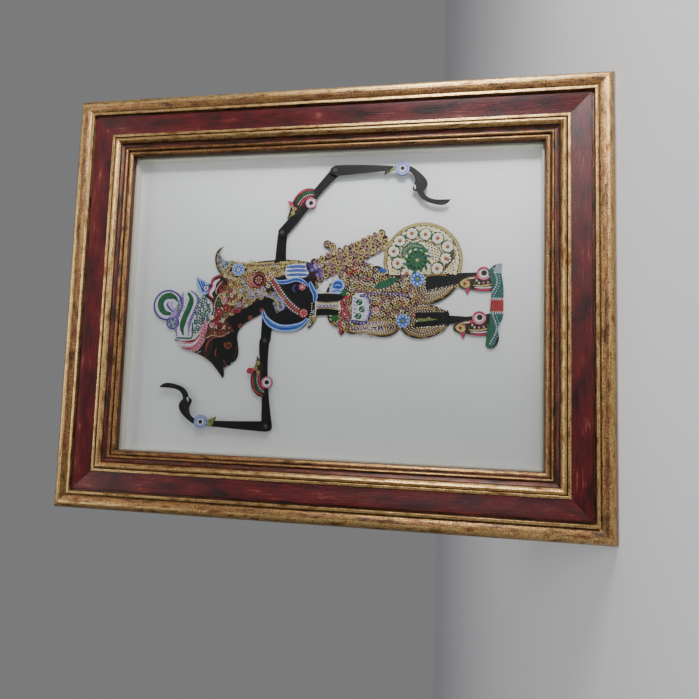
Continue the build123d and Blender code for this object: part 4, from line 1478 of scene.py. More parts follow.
    def neck_and_chest(self) -> None:
        """A black neck and chest with blue collar, necklaces, sash and striped breast cloth."""
        hide = self.hide
        hide.region(Paint.BLACK, [(-24, 66), (-19, 62.6), (-12.6, 54.6), (-7.4, 46.4), (-16, 40),
            (-20.6, 28), (-18.6, 16.6), (-12, 10), (-3, 6.4), (8, 8), (17, 9), (20, 22), (18, 38),
            (6, 41), (1.4, 50), (-4, 60), (-9.6, 71), (-13.4, 74.6), (-18, 72)])
        for x, z in ((-17, 62.6), (-10.8, 55.2), (-5.4, 46.6)):
            hide.spot(Paint.BRICK, x, z, 1.7)
            hide.dots(Paint.MAROON, 0.7, [(x, z)])
        crescent = [(-5.6, 46), (-11, 43.6), (-15.4, 39), (-17.8, 33), (-18.2, 27), (-17, 20),
            (-14.4, 15.4), (-11, 12.2)]
        hide.line(Paint.SKY, 5.2, crescent, (0.4, 0.35))
        hide.line(Paint.BLUE, 3.2, crescent, (0.35, 0.3))
        hide.beads(Paint.SKY, 0.42, [(x + 0.6, z) for x, z in crescent[1:-1]], 1.3)
        hide.line(Paint.OLIVE, 1.7, [(5, 43), (3.4, 37.6), (-1, 35), (-5, 36.4)], (0.3, 0.3))
        hide.line(Paint.LILAC, 1.8, [(5.4, 38.4), (1.6, 32.6), (-3, 30.4), (-6, 33.6)], (0.3, 0.3))
        hide.beads(Paint.CREAM, 0.6, [(4.6, 40.4), (1, 35.4), (-4.6, 34)], 1.6)
        hide.beads(Paint.VIOLET, 0.55, [(3.4, 33.6), (-0.6, 29.4), (-4, 29.6)], 1.5)
        jewels = lattice(curve_through([(-7, 37), (-2, 30), (5, 30), (9, 37), (6, 43), (2, 38)], 1,
            True), 2.9, 0.3, 20)
        hide.curls(Paint.OLIVE, (Paint.UMBER, Paint.LILAC), jewels[::2], 1.35, 0.7)
        hide.curls(Paint.LILAC, (Paint.UMBER, Paint.BROWN), jewels[1::2], 1.35, 0.7)
        sash = [(-7, 17), (-4.2, 22), (1, 28), (8, 33.6), (15, 38.2), (21, 43)]
        hide.line(Paint.UMBER, 7.2, sash, (0.9, 0.6))
        hide.line(Paint.BRICK, 3.2, sash, (0.8, 0.6))
        for shift in (-1.9, 1.9):
            hide.beads(Paint.WHITE, 0.72, [(x - shift * 0.7, z + shift * 0.7) for x, z in sash],
                1.9)
        hide.beads(Paint.ROSE, 0.55, sash, 1.9)
        hide.spot(Paint.BRICK, -7.2, 15.6, 3.4)
        hide.flower(-7.2, 15.2, 3.0, 7, Paint.PINK, Paint.BRICK, Paint.ROSE)
        band = [(17.4, 38.6), (15.6, 34), (16, 28), (17.6, 22), (16, 16.6), (12.6, 12.4)]
        hide.line(Paint.SKY, 3.2, band, (0.5, 0.4))
        hide.line(Paint.BLUE, 1.9, band, (0.5, 0.4))
        hide.region(Paint.WHITE, [(18.6, 29), (27.4, 29), (29, 20), (28.6, 12), (20, 13.6),
            (19, 21)])
        for number, x in enumerate((20.6, 23.7, 26.6)):
            hide.line(Paint.BLUE, 2.1, [(x, 29), (x + 0.5, 21), (x + 0.1, 12.6)], (0.6, 0.4))
            hide.beads(Paint.SKY, 0.35, [(x, 28), (x + 0.5, 21), (x + 0.1, 13.4)], 1.5)
        hide.line(Paint.SKY, 3.6, [(0.6, 7.6), (6, 7.2), (11, 9.6), (16, 11.6)], (0.4, 0.4))
        hide.line(Paint.BLUE, 2.3, [(0.6, 7.6), (6, 7.2), (11, 9.6), (16, 11.6)], (0.4, 0.4))
        hide.flower(12, 17, 2.6, 6, Paint.PINK, Paint.ROSE, Paint.CREAM)
        hide.line(Paint.VIOLET, 1.0, [(8, 22), (11, 24), (14, 22)], (0.3, 0.3))
        belt = hide.region(Paint.UMBER, [(-19, 12), (-13, 12.4), (-6, 9), (2, 6.4), (10, 7),
            (18, 8), (26, 9.6), (28, 5.6), (17, 4), (8, 4.6), (-3, 4), (-12, 6)])
        cells = lattice(belt, 2.9, 0.5, 10)
        for number, paint in enumerate((Paint.OCHRE, Paint.CREAM, Paint.SKY, Paint.OLIVE)):
            hide.curls(paint, (Paint.BROWN, Paint.UMBER, Paint.GREEN), cells[number::4], 1.4, 0.7)
        hide.beads(Paint.CREAM, 0.5, [(-18, 12.2), (-12, 11.4), (-6, 9.6), (0, 9.4)], 1.6)
        hide.flower(26.6, 11.4, 2.8, 6, Paint.LILAC, Paint.VIOLET, Paint.WHITE)
        hide.flower(19.4, 6.8, 2.6, 6, Paint.LILAC, Paint.VIOLET, Paint.WHITE)

    def shoulders(self) -> None:
        """The two black stubs that the arms hang from."""
        hide = self.hide
        hide.region(Paint.BLACK, [(-12, 47), (-28, 47), (-32, 43), (-28, 39), (-13, 38)], False)
        hide.region(Paint.BLACK, [(30, 38.6), (52, 37.2), (56, 33.2), (52, 29.4), (31, 29.8)],
            False)

    def back_wing(self) -> None:
        """Gold scrollwork over brown behind the shoulder, pierced and dotted all over."""
        hide = self.hide
        wing = curve_through([(-8, 66), (4, 76), (21, 79), (30, 83), (39, 83), (33, 78),
            (31.6, 66), (31, 50), (31.6, 30), (30, 14), (18, 30), (14, 40), (3, 44), (0, 54)], 0.7,
            True)
        hide.cover(Paint.UMBER, sides(wing))
        cells = lattice(wing, 3.6, 1.0, 12)
        clear = np.hypot(cells[:, 0] - 17, cells[:, 1] - 50) > 5.8
        clear &= np.hypot(cells[:, 0] - 25, cells[:, 1] - 66) > 5.0
        cells = cells[clear]
        hide.curls(Paint.OCHRE, (Paint.UMBER, Paint.BROWN, Paint.BRONZE, Paint.BROWN, Paint.ASH),
            cells, 1.75, 0.72)
        hide.pierce(lattice(wing, 3.6, 1.0, 12) + (0, 2.1), 0.36)
        hide.motley(lattice(wing, 3.6, 0.9, 12) + (1.8, 1.04), 0.6, (Paint.CREAM, Paint.OCHRE,
            Paint.UMBER, Paint.BRONZE, Paint.LILAC, Paint.CREAM, Paint.BRICK))
        hide.region(Paint.ASH, [(24, 80), (30, 82.6), (38, 82), (33, 77), (31, 71), (27, 74)])
        for x, z in ((27.4, 78.6), (31, 80.6), (34.6, 81.2), (29.6, 75.4)):
            hide.path(Paint.UMBER, 0.7, spiral(x, z, 1.5, 1.1, 100, 1, 0.3), (1, 0.5))
        hide.line(Paint.BRONZE, 1.2, [(-8, 66.4), (4, 75), (20, 78), (29, 82), (37, 82.8),
            (41, 79.6)], (0.4, 0.3))
        hide.beads(Paint.CREAM, 0.45, [(-4, 67.4), (5, 73.6), (20, 76.2), (29, 79.8)], 1.5)
        for x in (26.2, 29.4):
            hide.line(Paint.OCHRE, 1.0, [(x + 1.4, 74), (x + 0.6, 64), (x, 52), (x + 1, 36),
                (x + 0.4, 22)], (0.5, 0.5))
        hide.beads(Paint.UMBER, 0.55, [(28.6, 72), (27.8, 56), (28.6, 36), (28.6, 18)], 1.7)
        hide.curls(Paint.OCHRE, (Paint.BROWN, Paint.UMBER), curve_through([(30, 33), (30.4, 24),
            (29.8, 15)], 3.3), 1.4, 0.7)
        hide.flower(25, 66, 4.4, 8, Paint.SKY, Paint.BLUE, Paint.WHITE, Paint.WHITE)
        hide.dots(Paint.GREEN, 0.8, [(25, 66)], 0.16)
        hide.spot(Paint.UMBER, 17, 50, 5.8)
        hide.line(Paint.BRICK, 1.4, ring(17, 50, 4.9, 12).tolist(), closed=True)
        hide.line(Paint.ROSE, 1.7, [(11.6, 52), (14, 56), (19, 57), (22, 53.4)], (0.3, 0.3))
        hide.line(Paint.PINK, 0.9, [(12.6, 51.4), (15, 54.6), (19, 55), (21, 52.4)], (0.3, 0.3))
        hide.flower(17, 50, 3.0, 7, Paint.PINK, Paint.MAROON, Paint.OLIVE)
        for start, end in (((6, 69), (11, 71)), ((12, 66), (16.6, 68.6)), ((12, 72), (17, 73))):
            hide.line(Paint.RED, 1.1, [start, ((start[0] + end[0]) / 2, end[1] + 0.4), end],
                (0.3, 0.3))
        for x, z, paint in ((8, 61, Paint.BLUE), (11.6, 59, Paint.VIOLET), (9.6, 63.6, Paint.SKY),
                (3, 59, Paint.VIOLET), (5.4, 56.4, Paint.BLUE), (14, 61, Paint.BLUE),
                (28, 46, Paint.VIOLET), (28.6, 40, Paint.BLUE), (18, 62, Paint.VIOLET)):
            hide.dots(paint, 1.2, [(x, z)])
            hide.dots(Paint.WHITE, 0.4, [(x, z)], 0.1)
        for x, z in ((4, 53), (8.4, 50.4), (5.6, 47.6), (10.2, 46.4), (8, 55.6)):
            hide.path(Paint.LILAC, 1.0, spiral(x, z, 2.0, 1.1, 120, -1, 0.3), (1, 0.4))

    def waist(self) -> None:
        """A slim waist: two black strips beside a column of lace."""
        hide = self.hide
        hide.region(Paint.CREAM, [(-8.8, 7), (7.8, 7), (8, -4), (6, -12), (-4, -12), (-9, -4)],
            False)
        hide.region(Paint.BLACK, [(-8.6, 6.4), (-4, 6), (-3.6, -2), (-4.6, -10), (-8, -11),
            (-8.8, -3)], False)
        hide.region(Paint.BLACK, [(1.4, 6.2), (7, 6.4), (7.4, -2), (7, -9), (4.6, -15.6),
            (1.6, -10), (0.8, -2)], False)
        for z in np.arange(4.4, -11, -2.6):
            hide.path(Paint.VIOLET, 0.6, spiral(-1.6, z, 1.5, 1.1, 60, 1, 0.3), (1, 0.5))
            hide.dots(Paint.WHITE, 0.5, [(-1.6, z)])
        hide.line(Paint.BRONZE, 0.6, [(-3.4, 5), (-3.2, -3), (-4, -10)])
        hide.line(Paint.BRONZE, 0.6, [(0.8, 5), (0.4, -3), (1.2, -10)])

    def train(self) -> None:
        """The scarf's end: rows of curls from the hip down to the fan."""
        hide = self.hide
        hide.region(Paint.UMBER, [(16, 6), (28, 15), (36, 6), (44, 4), (47, -4), (42, -14),
            (51, -34), (49, -47), (38, -44), (32, -26), (22, -2)])
        start, end = np.array([24.0, 7.0]), np.array([46.4, -42.0])
        along = (end - start) / np.linalg.norm(end - start)
        across = np.array([-along[1], along[0]])
        run, row = np.meshgrid(np.arange(-0.5, 53, 4.6), np.arange(-1.5, 2))
        centres = start + (run + 2.3 * (row % 2))[..., None] * along \
            + (row * 4.3 * (1 - 0.25 * run / 53))[..., None] * across
        centres = np.concatenate([centres.reshape(-1, 2), [(43, 0), (41.4, -4), (38.6, -4.4)]])
        hide.curls(Paint.DUST, (Paint.UMBER, Paint.MAROON, Paint.BROWN), centres[::2], 2.2, 0.95)
        hide.curls(Paint.OCHRE, (Paint.UMBER, Paint.BROWN), centres[1::2], 2.2, 0.9)
        hide.motley(centres, 0.7, (Paint.MAROON, Paint.OLIVE, Paint.UMBER, Paint.CREAM,
            Paint.BRICK))
        hide.motley(centres + along * 2.3 + across * 1.1, 0.5, (Paint.OCHRE, Paint.CREAM))
        for side, shift in ((-1.5, 2.95), (1.5, 5.25)):
            run = np.arange(shift, 53, 4.6)[:, None]
            hide.pierce(start + run * along + side * (4.3 * (1 - 0.25 * run / 53) + 1.6) * across,
                1.3)
        hide.pierce(centres[::3] - along * 2.4, 0.42)
        hip = lattice(curve_through([(17, 6), (22, 9), (27, 13.4), (31, 10), (27, 4), (20, 1)], 1,
            True), 3.4, 0.6, 20)
        hide.curls(Paint.VIOLET, (Paint.LILAC, Paint.UMBER, Paint.WHITE), hip, 1.7, 0.9)

    def fan(self) -> None:
        """The round fan: gold rim, red flowers on dotted cream, and a dark green lotus."""
        hide = self.hide
        x, z, r = 30.6, -69.0, 27.6
        hide.spot(Paint.OCHRE, x, z, r + 0.3)
        hide.spot(Paint.UMBER, x, z, r - 2.0)
        hide.spot(Paint.CREAM, x, z, r - 2.9)
        hide.dots(Paint.CREAM, 1.5, ring(x, z, r - 3.6, 42))
        hide.dots(Paint.TEAL, 0.6, ring(x, z, r - 2.4, 42))
        hide.line(Paint.BRONZE, 1.2, ring(x, z, r - 0.8, 30).tolist(), closed=True)
        hide.beads(Paint.CREAM, 0.5, ring(x, z, r - 0.9, 24).tolist(), 1.8, True)
        face = ring(x, z, r - 5, 40)
        hide.motley(lattice(face, 2.1, 0.3, 8), 0.66, (Paint.BROWN, Paint.OCHRE, Paint.UMBER,
            Paint.BRONZE, Paint.OLIVE, Paint.BROWN, Paint.DUST))
        for reach in (14.0, 16.2):
            hide.line(Paint.BROWN, 0.6, ring(x, z, reach, 24).tolist(), closed=True)
        hide.beads(Paint.CREAM, 0.6, ring(x, z, 15.1, 24).tolist(), 1.8, True)
        blooms = ((21.5, -58), (29, -51.5), (37.5, -48.5), (45, -52.6), (50.2, -61), (49.4, -70.5),
            (46.5, -79), (40.4, -86), (32, -85), (25, -79))
        for bx, bz in blooms:
            hide.spot(Paint.UMBER, bx, bz, 4.7)
            hide.flower(bx, bz, 3.9, 9, Paint.WHITE, Paint.CREAM, Paint.BRICK)
            hide.dots(Paint.BRICK, 1.55, [(bx, bz)], 0.1)
            hide.dots(Paint.OCHRE, 0.4, [(bx, bz)], 0.2)
        for bx, bz in blooms:
            out = np.array([bx - x, bz - z]) / math.hypot(bx - x, bz - z)
            side = np.array([-out[1], out[0]])
            for way in (-1, 1):
                leaf = np.array([bx, bz]) + side * way * 4.3 - out * 0.6
                hide.line(Paint.GREEN, 1.2, [leaf - out * 2, leaf + side * way * 0.5, leaf + out *
                    1.8], (0.3, 0.3))
        hide.spot(Paint.CREAM, 33.0, -64.6, 10.6)
        hide.motley(lattice(ring(33, -64.6, 10.4, 24), 1.9, 0.3, 30), 0.42, (Paint.OLIVE,
            Paint.OCHRE, Paint.TEAL, Paint.BROWN))
        hide.region(Paint.TEAL, [(32, -54.6), (39, -54.4), (43.6, -60), (42.4, -68), (36, -73),
            (39, -66), (38.4, -60)])
        hide.region(Paint.TEAL, [(25, -58.6), (30, -57.4), (34.4, -61), (36, -66.4), (32, -71),
            (26.6, -70), (23.4, -64)])
        hide.spot(Paint.UMBER, 31, -65, 7.2)
        for degrees in np.arange(10, 370, 30):
            turn = math.radians(degrees)
            cos, sin = math.cos(turn), math.sin(turn)
            hide.line(Paint.TEAL if degrees % 60 > 20 else Paint.GREEN, 2.0, [(31 + 2 * cos, -65 +
                2 * sin), (31 + 6.4 * cos - 2 * sin, -65 + 6.4 * sin + 2 * cos), (31 + 10.8 * cos,
                -65 + 10.8 * sin)], (0.9, 0.1))
        hide.line(Paint.OLIVE, 0.8, [(34, -57), (38.6, -57.4), (41, -62), (40, -67.6)], (0.3, 0.3))
        hide.beads(Paint.CREAM, 0.4, [(33, -56), (38.4, -56), (42, -61), (40.6, -68)], 1.6)
        hide.dots(Paint.LILAC, 1.1, [(36, -74), (33, -75.6), (39, -72.4), (27.6, -74.4)])
        hide.dots(Paint.OLIVE, 1.8, [(31, -65)], 0.1)
        hide.dots(Paint.CREAM, 0.8, [(31, -65)], 0.18)
        for shift in (0.0, 2.2, 4.4):
            hide.line(Paint.BROWN, 1.2, [(23 + shift, -83 - shift * 0.4), (30 + shift, -88.4), (37
                + shift * 0.6, -93 + shift * 0.4)], (0.4, 0.3))

    def skirt(self) -> None:
        """The wrapped skirt: gold and cream lace with brown beads, flowers and leaves."""
        hide = self.hide
        whole = curve_through([(-9, -3), (-15, -6), (-22, -13), (-19, -18), (-22, -26), (-23, -40),
            (-20, -51), (-16, -55), (-23, -62), (-24, -72), (-20, -82), (-13, -88.4), (-6, -88),
            (-1, -74), (4, -84), (14, -94), (21, -88), (20.8, -62), (21, -46), (26, -38),
            (30, -24), (24, -13), (16, -5), (8, -1)], 0.8, True)
        hide.cover(Paint.UMBER, sides(whole))
        cells = lattice(whole, 3.7, 0.8, 20)
        for number, paint in enumerate((Paint.OCHRE, Paint.CREAM, Paint.DUST)):
            hide.curls(paint, (Paint.BROWN, Paint.UMBER, Paint.MAROON, Paint.UMBER),
                cells[number::3], 1.7, 0.62)
        hide.motley(cells + (1.85, 1.07), 0.62, (Paint.CREAM, Paint.WHITE, Paint.UMBER,
            Paint.CREAM, Paint.BRICK, Paint.OCHRE, Paint.LILAC, Paint.CREAM, Paint.OLIVE))
        hide.pierce(lattice(whole, 3.7, 1.2, 20) + (0.0, 2.1), 0.34)
        lobes = ([(-18.2, -17), (-20.6, -22), (-19.8, -28), (-21.8, -38), (-21, -47), (-16.4, -53),
            (-12, -46), (-13, -30)], [(-16.4, -57), (-21.2, -62), (-22.6, -70), (-19.8, -79),
            (-14, -86.4), (-7.6, -86.2), (-4, -80), (-2, -70), (-5, -61)], [(1.4, -69), (4, -80),
            (9, -87.4), (15, -91.6), (20, -87), (19.8, -72), (12, -63)])
        for lobe in lobes:
            loop = hide.region(Paint.UMBER, lobe)
            middle = loop.mean(axis=0)
            for step, paint in enumerate((Paint.BRONZE, Paint.CREAM, Paint.DUST, Paint.CREAM,
                    Paint.OCHRE, Paint.WHITE, Paint.DUST, Paint.CREAM)):
                moved = middle + (loop - middle) * (1 - 0.115 * step)
                if step % 2 and step < 7:
                    hide.dots(paint, 0.58, evenly(moved, 1.65))
                else:
                    hide.path(paint, 0.75 + 0.5 * (step == 0), evenly(moved, 0.7))
        hide.region(Paint.SKY, [(8, -3), (15, -5), (18, -10), (14, -14), (8, -12), (6.6, -7)])
        hide.region(Paint.BLUE, [(11.4, -5.6), (16, -7.4), (15.6, -11.6), (11, -12)])
        hide.line(Paint.VIOLET, 0.9, [(8.4, -4.6), (9.4, -9), (8, -12.6)], (0.4, 0.4))
        hide.line(Paint.SKY, 0.7, [(12.6, -6.6), (13.6, -9), (12.6, -11.6)], (0.4, 0.4))
        hide.region(Paint.GREEN, [(5.4, -12), (10, -12.4), (9.6, -15.6), (5.8, -15)])
        hide.line(Paint.RED, 1.7, [(19.6, -14.6), (22.4, -18.4), (25.6, -25)], (0.4, 0.4))
        hide.line(Paint.BRICK, 1.2, [(22.4, -13.6), (26, -18), (28.2, -24)], (0.4, 0.4))
        hide.region(Paint.GREEN, [(-12, -5), (-8.6, -5), (-8.4, -9.6), (-12, -10)])
        hide.region(Paint.WHITE, [(-14, -21), (-4, -20), (6, -21), (7, -29), (-3, -32),
            (-14, -30)])
        for x, z in ((-9, -24.6), (-4, -27), (1, -25)):
            hide.spot(Paint.GREEN, x, z, 2.3)
            hide.dots(Paint.WHITE, 0.5, [(x - 0.8, z + 0.6), (x + 0.9, z - 0.5)])
        hide.fringe(Paint.BLUE, 0.8, [(-12, -22), (4, -22)], 2.4, 2.4, 0.5)
        hide.fringe(Paint.SKY, 0.7, [(-11, -29), (4, -29)], 2.2, 2.4, -0.4)
        for arc in ([(-17, -26), (-14.6, -29), (-11, -30.6)], [(-11, -31), (-7, -33.4), (-3, -32)],
                [(-1, -32), (3, -32), (6.6, -29)]):
            hide.line(Paint.VIOLET, 1.4, arc, (0.3, 0.3))
            hide.line(Paint.LILAC, 0.8, [(x, z + 1.5) for x, z in arc], (0.3, 0.3))
        for chain in ([(-12.6, -18), (-14, -29), (-13.4, -40)], [(5.6, -26), (7.4, -43),
                (5.6, -60)], [(-17.4, -20), (-18.6, -31), (-18, -42)]):
            hide.line(Paint.UMBER, 3.4, chain, (0.6, 0.6))
            hide.beads(Paint.VIOLET, 1.05, chain, 2.4)
            hide.beads(Paint.CREAM, 0.55, [(x, z - 1.2) for x, z in chain], 2.4)
        hide.flower(-4.5, -37, 2.6, 6, Paint.WHITE, Paint.ROSE, Paint.OCHRE)
        for x, z in ((2, -47), (-6, -45), (-16, -44), (0, -55), (-9, -50), (10, -56), (1, -40),
                (15, -25), (18, -31), (-8, -64), (6, -68)):
            hide.dots(Paint.RED, 1.1, [(x, z)])
            hide.dots(Paint.CREAM, 0.35, [(x, z)], 0.12)
        hide.region(Paint.TEAL, [(11, -36), (14, -37.4), (17, -43), (18.4, -52), (14.4, -49),
            (11.2, -43)])
        hide.fringe(Paint.GREEN, 0.9, [(12.4, -38.4), (14.6, -43), (17, -50)], 2.2, 4.6, 0.6)
        hide.curls(Paint.UMBER, (Paint.CREAM, Paint.DUST), curve_through([(17, -19), (21, -27),
            (24, -36)], 3.6), 2.0, 0.9)
        hide.region(Paint.BLUE, [(22, -42), (24.4, -38), (26, -41), (23.6, -44)])
        hide.flower(-12, -56, 4.6, 8, Paint.SKY, Paint.BLUE, Paint.OLIVE, Paint.WHITE)
        hide.flower(17.5, -65.5, 4.8, 8, Paint.SKY, Paint.BLUE, Paint.OLIVE, Paint.WHITE)
        for x0, x1 in ((-16.4, -12.6), (-10, -6)):
            hide.region(Paint.BLACK, [(x0, -64), (x1, -65), (x1 + 1, -76), (x1 + 1.2, -88),
                (x0 + 2.6, -88), (x0 + 0.8, -74)], False)
        hide.region(Paint.BLACK, [(-13.6, -76), (-8, -76), (-7, -89), (-14, -89)], False)
        hide.region(Paint.OLIVE, [(-12.4, -67), (-10.2, -67), (-10.6, -80)])
        for x, z in ((-16.6, -66), (-5.6, -66)):
            hide.beads(Paint.CREAM, 0.5, [(x, z), (x * 0.93, z - 18)], 1.7)
        hide.region(Paint.BLACK, [(10.4, -72), (19.4, -71), (20, -82), (20.8, -92), (14.4, -93),
            (12, -82)], False)
        hide.fringe(Paint.BLACK, 1.1, [(10.2, -73), (11.6, -82), (14, -91)], 2.2, 4.4, 0.6)
        hide.fringe(Paint.BLACK, 0.9, [(-16.4, -66), (-15.6, -76), (-14, -87)], 2.2, 3.2, 0.5)
        hide.fringe(Paint.BLACK, 0.9, [(-6, -66), (-5, -76), (-5.6, -87)], 2.2, 3.2, -0.5)
        hide.beads(Paint.CREAM, 0.5, [(7.4, -72), (9.4, -82), (12.4, -91)], 1.7)

    def ribbon(self) -> None:
        """The crimson ribbon and bow at the hip."""
        hide = self.hide
        for knot in ([(-22, -12.8), (-17.4, -11.8), (-12.6, -12.4)], [(-12.4, -16.6),
                (-8.4, -13.4), (-4, -13.6), (-1, -16.6)], [(-3.4, -13), (0.8, -12.6), (4, -15),
                (5.6, -19.4)], [(-10, -18.4), (-6.6, -16.4), (-3, -16.6)]):
            hide.line(Paint.MAROON, 3.0, knot, (0.5, 0.4))
            hide.line(Paint.ROSE, 2.0, knot, (0.4, 0.3))

    def legs(self) -> None:
        """Black legs with jagged edges and a bird-shaped anklet on each."""
        hide = self.hide
        hide.region(Paint.BLACK, [(-15, -86), (-8.6, -87), (-7.4, -100), (-5.6, -112), (-5, -118),
            (-20, -118), (-13, -112), (-12.6, -100)], False)
        hide.region(Paint.BLACK, [(13, -90), (21.6, -89), (22.2, -104), (24.6, -114), (26, -119),
            (12, -119), (18, -112), (18.2, -104)], False)
        for x, z in ((-9.4, -108.0), (21.4, -110.6)):
            self.anklet(x, z)

    def anklet(self, x: float, z: float) -> None:
        """Draws one anklet.

        Args:
            x: its ring's place across.
            z: its ring's place up.
        """
        hide, at = self.hide, partial(shifted, (x, z))
        hide.region(Paint.UMBER, at([(-1.4, 2), (-2.4, 13), (-6.6, 17), (-11, 12), (-15, 10.6),
            (-11, 8.6), (-12.6, 2), (-11, -8), (-3, -8)]))
        hide.region(Paint.OCHRE, at([(-3.4, 11.4), (-6.6, 16), (-10, 12.4), (-8, 9)]))
        hide.dots(Paint.BRICK, 1.3, at([(-7, 12.6)]))
        hide.dots(Paint.UMBER, 0.5, at([(-7, 12.6)]), 0.1)
        hide.region(Paint.ROSE, at([(-15.4, 10.7), (-10.6, 12.2), (-9.6, 9)]), False)
        hide.line(Paint.ROSE, 1.5, at([(-11, 6), (-11.6, 0), (-10.4, -7)]), (0.4, 0.4))
        hide.line(Paint.WHITE, 0.9, at([(-9.6, 6), (-10, 0), (-9, -7)]), (0.4, 0.4))
        hide.line(Paint.OCHRE, 1.1, at([(-8.2, 7), (-8.6, 1), (-7.2, -6)]), (0.4, 0.4))
        hide.line(Paint.CREAM, 1.0, at([(-3, 5), (-3.4, 11)]), (0.4, 0.4))
        hide.line(Paint.RED, 1.0, at([(-5, 8.4), (-4.6, 12)]), (0.4, 0.4))
        hide.motley(np.array(at([(-6.4, 6), (-6.6, 3), (-6.6, 0), (-6.2, -3), (-5.4, -5.6),
            (-5, 4.6)])), 0.8, (Paint.GREEN, Paint.PINK, Paint.CREAM))
        hide.region(Paint.ROSE, at([(-4.6, 4.8), (-1.4, 7.4), (-2, 3.4)]), False)
        hide.target(x, z, (Paint.ROSE, 4.7), (Paint.WHITE, 3.1))
        hide.spot(Paint.UMBER, x + 0.4, z - 0.3, 2.0)
        hide.line(Paint.PINK, 0.9, ring(x, z, 3.9, 12).tolist()[2:11])

    def ground(self) -> None:
        """The blue-green ground strip with its red band and white garlands."""
        hide = self.hide
        hide.region(Paint.TEAL, [(-30, -111), (-14, -114.4), (2, -116), (14, -116.4), (24, -113),
            (29, -124), (20, -124), (0, -125), (-16, -122), (-31, -117)], False)
        hide.region(Paint.RED, [(-5, -114.6), (3.6, -115), (4, -125), (-5.6, -124.4)], False)
        for x in (-5.6, 3.8):
            hide.fringe(Paint.WHITE, 0.8, [(x, -115.6), (x, -123.6)], 1.4, 2.0, 0.5)
        for x0, x1 in ((-27, -7), (6, 25)):
            hide.beads(Paint.WHITE, 0.55, [(x0, -115.4), ((x0 + x1) / 2, -119.6), (x1, -117)], 1.7)
            hide.beads(Paint.SKY, 0.45, [(x0, -117.6), ((x0 + x1) / 2, -121.4), (x1, -119)], 1.9)
        hide.region(Paint.ASH, [(22, -117), (28, -119), (29, -123.6), (21, -123)], False)
        hide.line(Paint.GREEN, 0.8, [(-28.6, -113.4), (-14, -115), (0, -117)], (0.4, 0.4))


@dataclass(frozen=True)
class Armlet:
    """An armlet: a bird along the arm, with its head to the shoulder, tied on by a ring.

    Attributes:
        body: points around the bird.
        stripes: points along its outer edge, its green and white rows, and its inner edge.
        scrolls: middles of the scrolls on its head.
        crest: points around its crest.
        beak: points along its beak.
        eye: the middle of its eye.
        ring: the middle of the ring.
    """

    body: tuple[Point, ...]
    stripes: tuple[tuple[Point, ...], ...]
    scrolls: tuple[Point, ...]
    crest: tuple[Point, ...]
    beak: tuple[Point, ...]
    eye: Point
    ring: Point

    def draw(self, hide: Leather) -> None:
        """Draws it on an arm.

        Args:
            hide: the arm's leather.
        """
        edge, green, white, inner = self.stripes
        hide.region(Paint.UMBER, self.body)
        hide.line(Paint.ROSE, 1.2, edge, (0.4, 0.4))
        hide.line(Paint.GREEN, 1.6, green, (0.4, 0.4))
        hide.beads(Paint.WHITE, 0.5, white, 1.4)
        hide.line(Paint.ROSE, 1.3, inner, (0.4, 0.4))
        hide.curls(Paint.OCHRE, (Paint.MAROON, Paint.BROWN), self.scrolls, 1.5, 0.8)
        hide.region(Paint.ROSE, self.crest)
        hide.line(Paint.OLIVE, 1.0, self.beak, (0.6, 0.1))
        hide.dots(Paint.BRICK, 0.9, [self.eye])
        hide.target(*self.ring, (Paint.ROSE, 4.1), (Paint.WHITE, 2.9), (Paint.UMBER, 1.7))
        hide.line(Paint.PINK, 1.2, ring(*self.ring, 3.4, 12).tolist(), closed=True)


FRONT_ARMLET = Armlet(body=((-62, 41), (-67.6, 41.4), (-67.4, 44.4), (-63.6, 49.4), (-57, 51.8),
    (-51.8, 51.2), (-47.6, 53.4), (-44, 48.8), (-39.6, 48), (-43, 45), (-47, 43), (-56, 44)),
    stripes=(((-67.4, 43), (-63.8, 48.6), (-57.4, 51), (-52, 50.6)), ((-65.6, 43), (-62.6, 47),
    (-57.4, 49.2), (-52.6, 49)), ((-64.4, 42.6), (-61.4, 45.8), (-57, 47.6), (-53, 47.4)),
    ((-63, 41.8), (-60, 44.6), (-56, 46), (-51, 45.8))), scrolls=((-47.6, 49), (-50.6, 47.2),
    (-44, 47)), crest=((-51.6, 51), (-50, 55.4), (-47.6, 53.6), (-48, 50.6)), beak=((-47, 48),
    (-43, 48.2), (-39.4, 48)), eye=(-47.8, 49.2), ring=(-57.6, 40.2))
REAR_ARMLET = Armlet(body=((66.4, 21), (64, 26), (62.8, 29.6), (67, 28), (71, 27.2), (75, 29.2),
    (75, 25.8), (79.6, 23), (84, 16), (83, 10.4), (79, 9), (76.6, 13.6), (72, 18)),
    stripes=(((83, 11), (83.6, 16), (80, 22.4), (75.6, 25.4)), ((81.4, 10.6), (81.8, 15.4),
    (78.4, 20.6), (74.2, 23.6)), ((79.8, 11), (79.8, 15), (76.8, 19.4), (73, 22)), ((78.2, 11.6),
    (78, 15), (75, 18.6), (71, 20.8))), scrolls=((69.6, 24.4), (66.6, 26), (72, 26.6)),
    crest=((71.6, 26.8), (75.2, 29.4), (74.8, 26)), beak=((66.4, 24), (64.6, 27), (63, 29.6)),
    eye=(69, 24.4), ring=(73.6, 12.4))


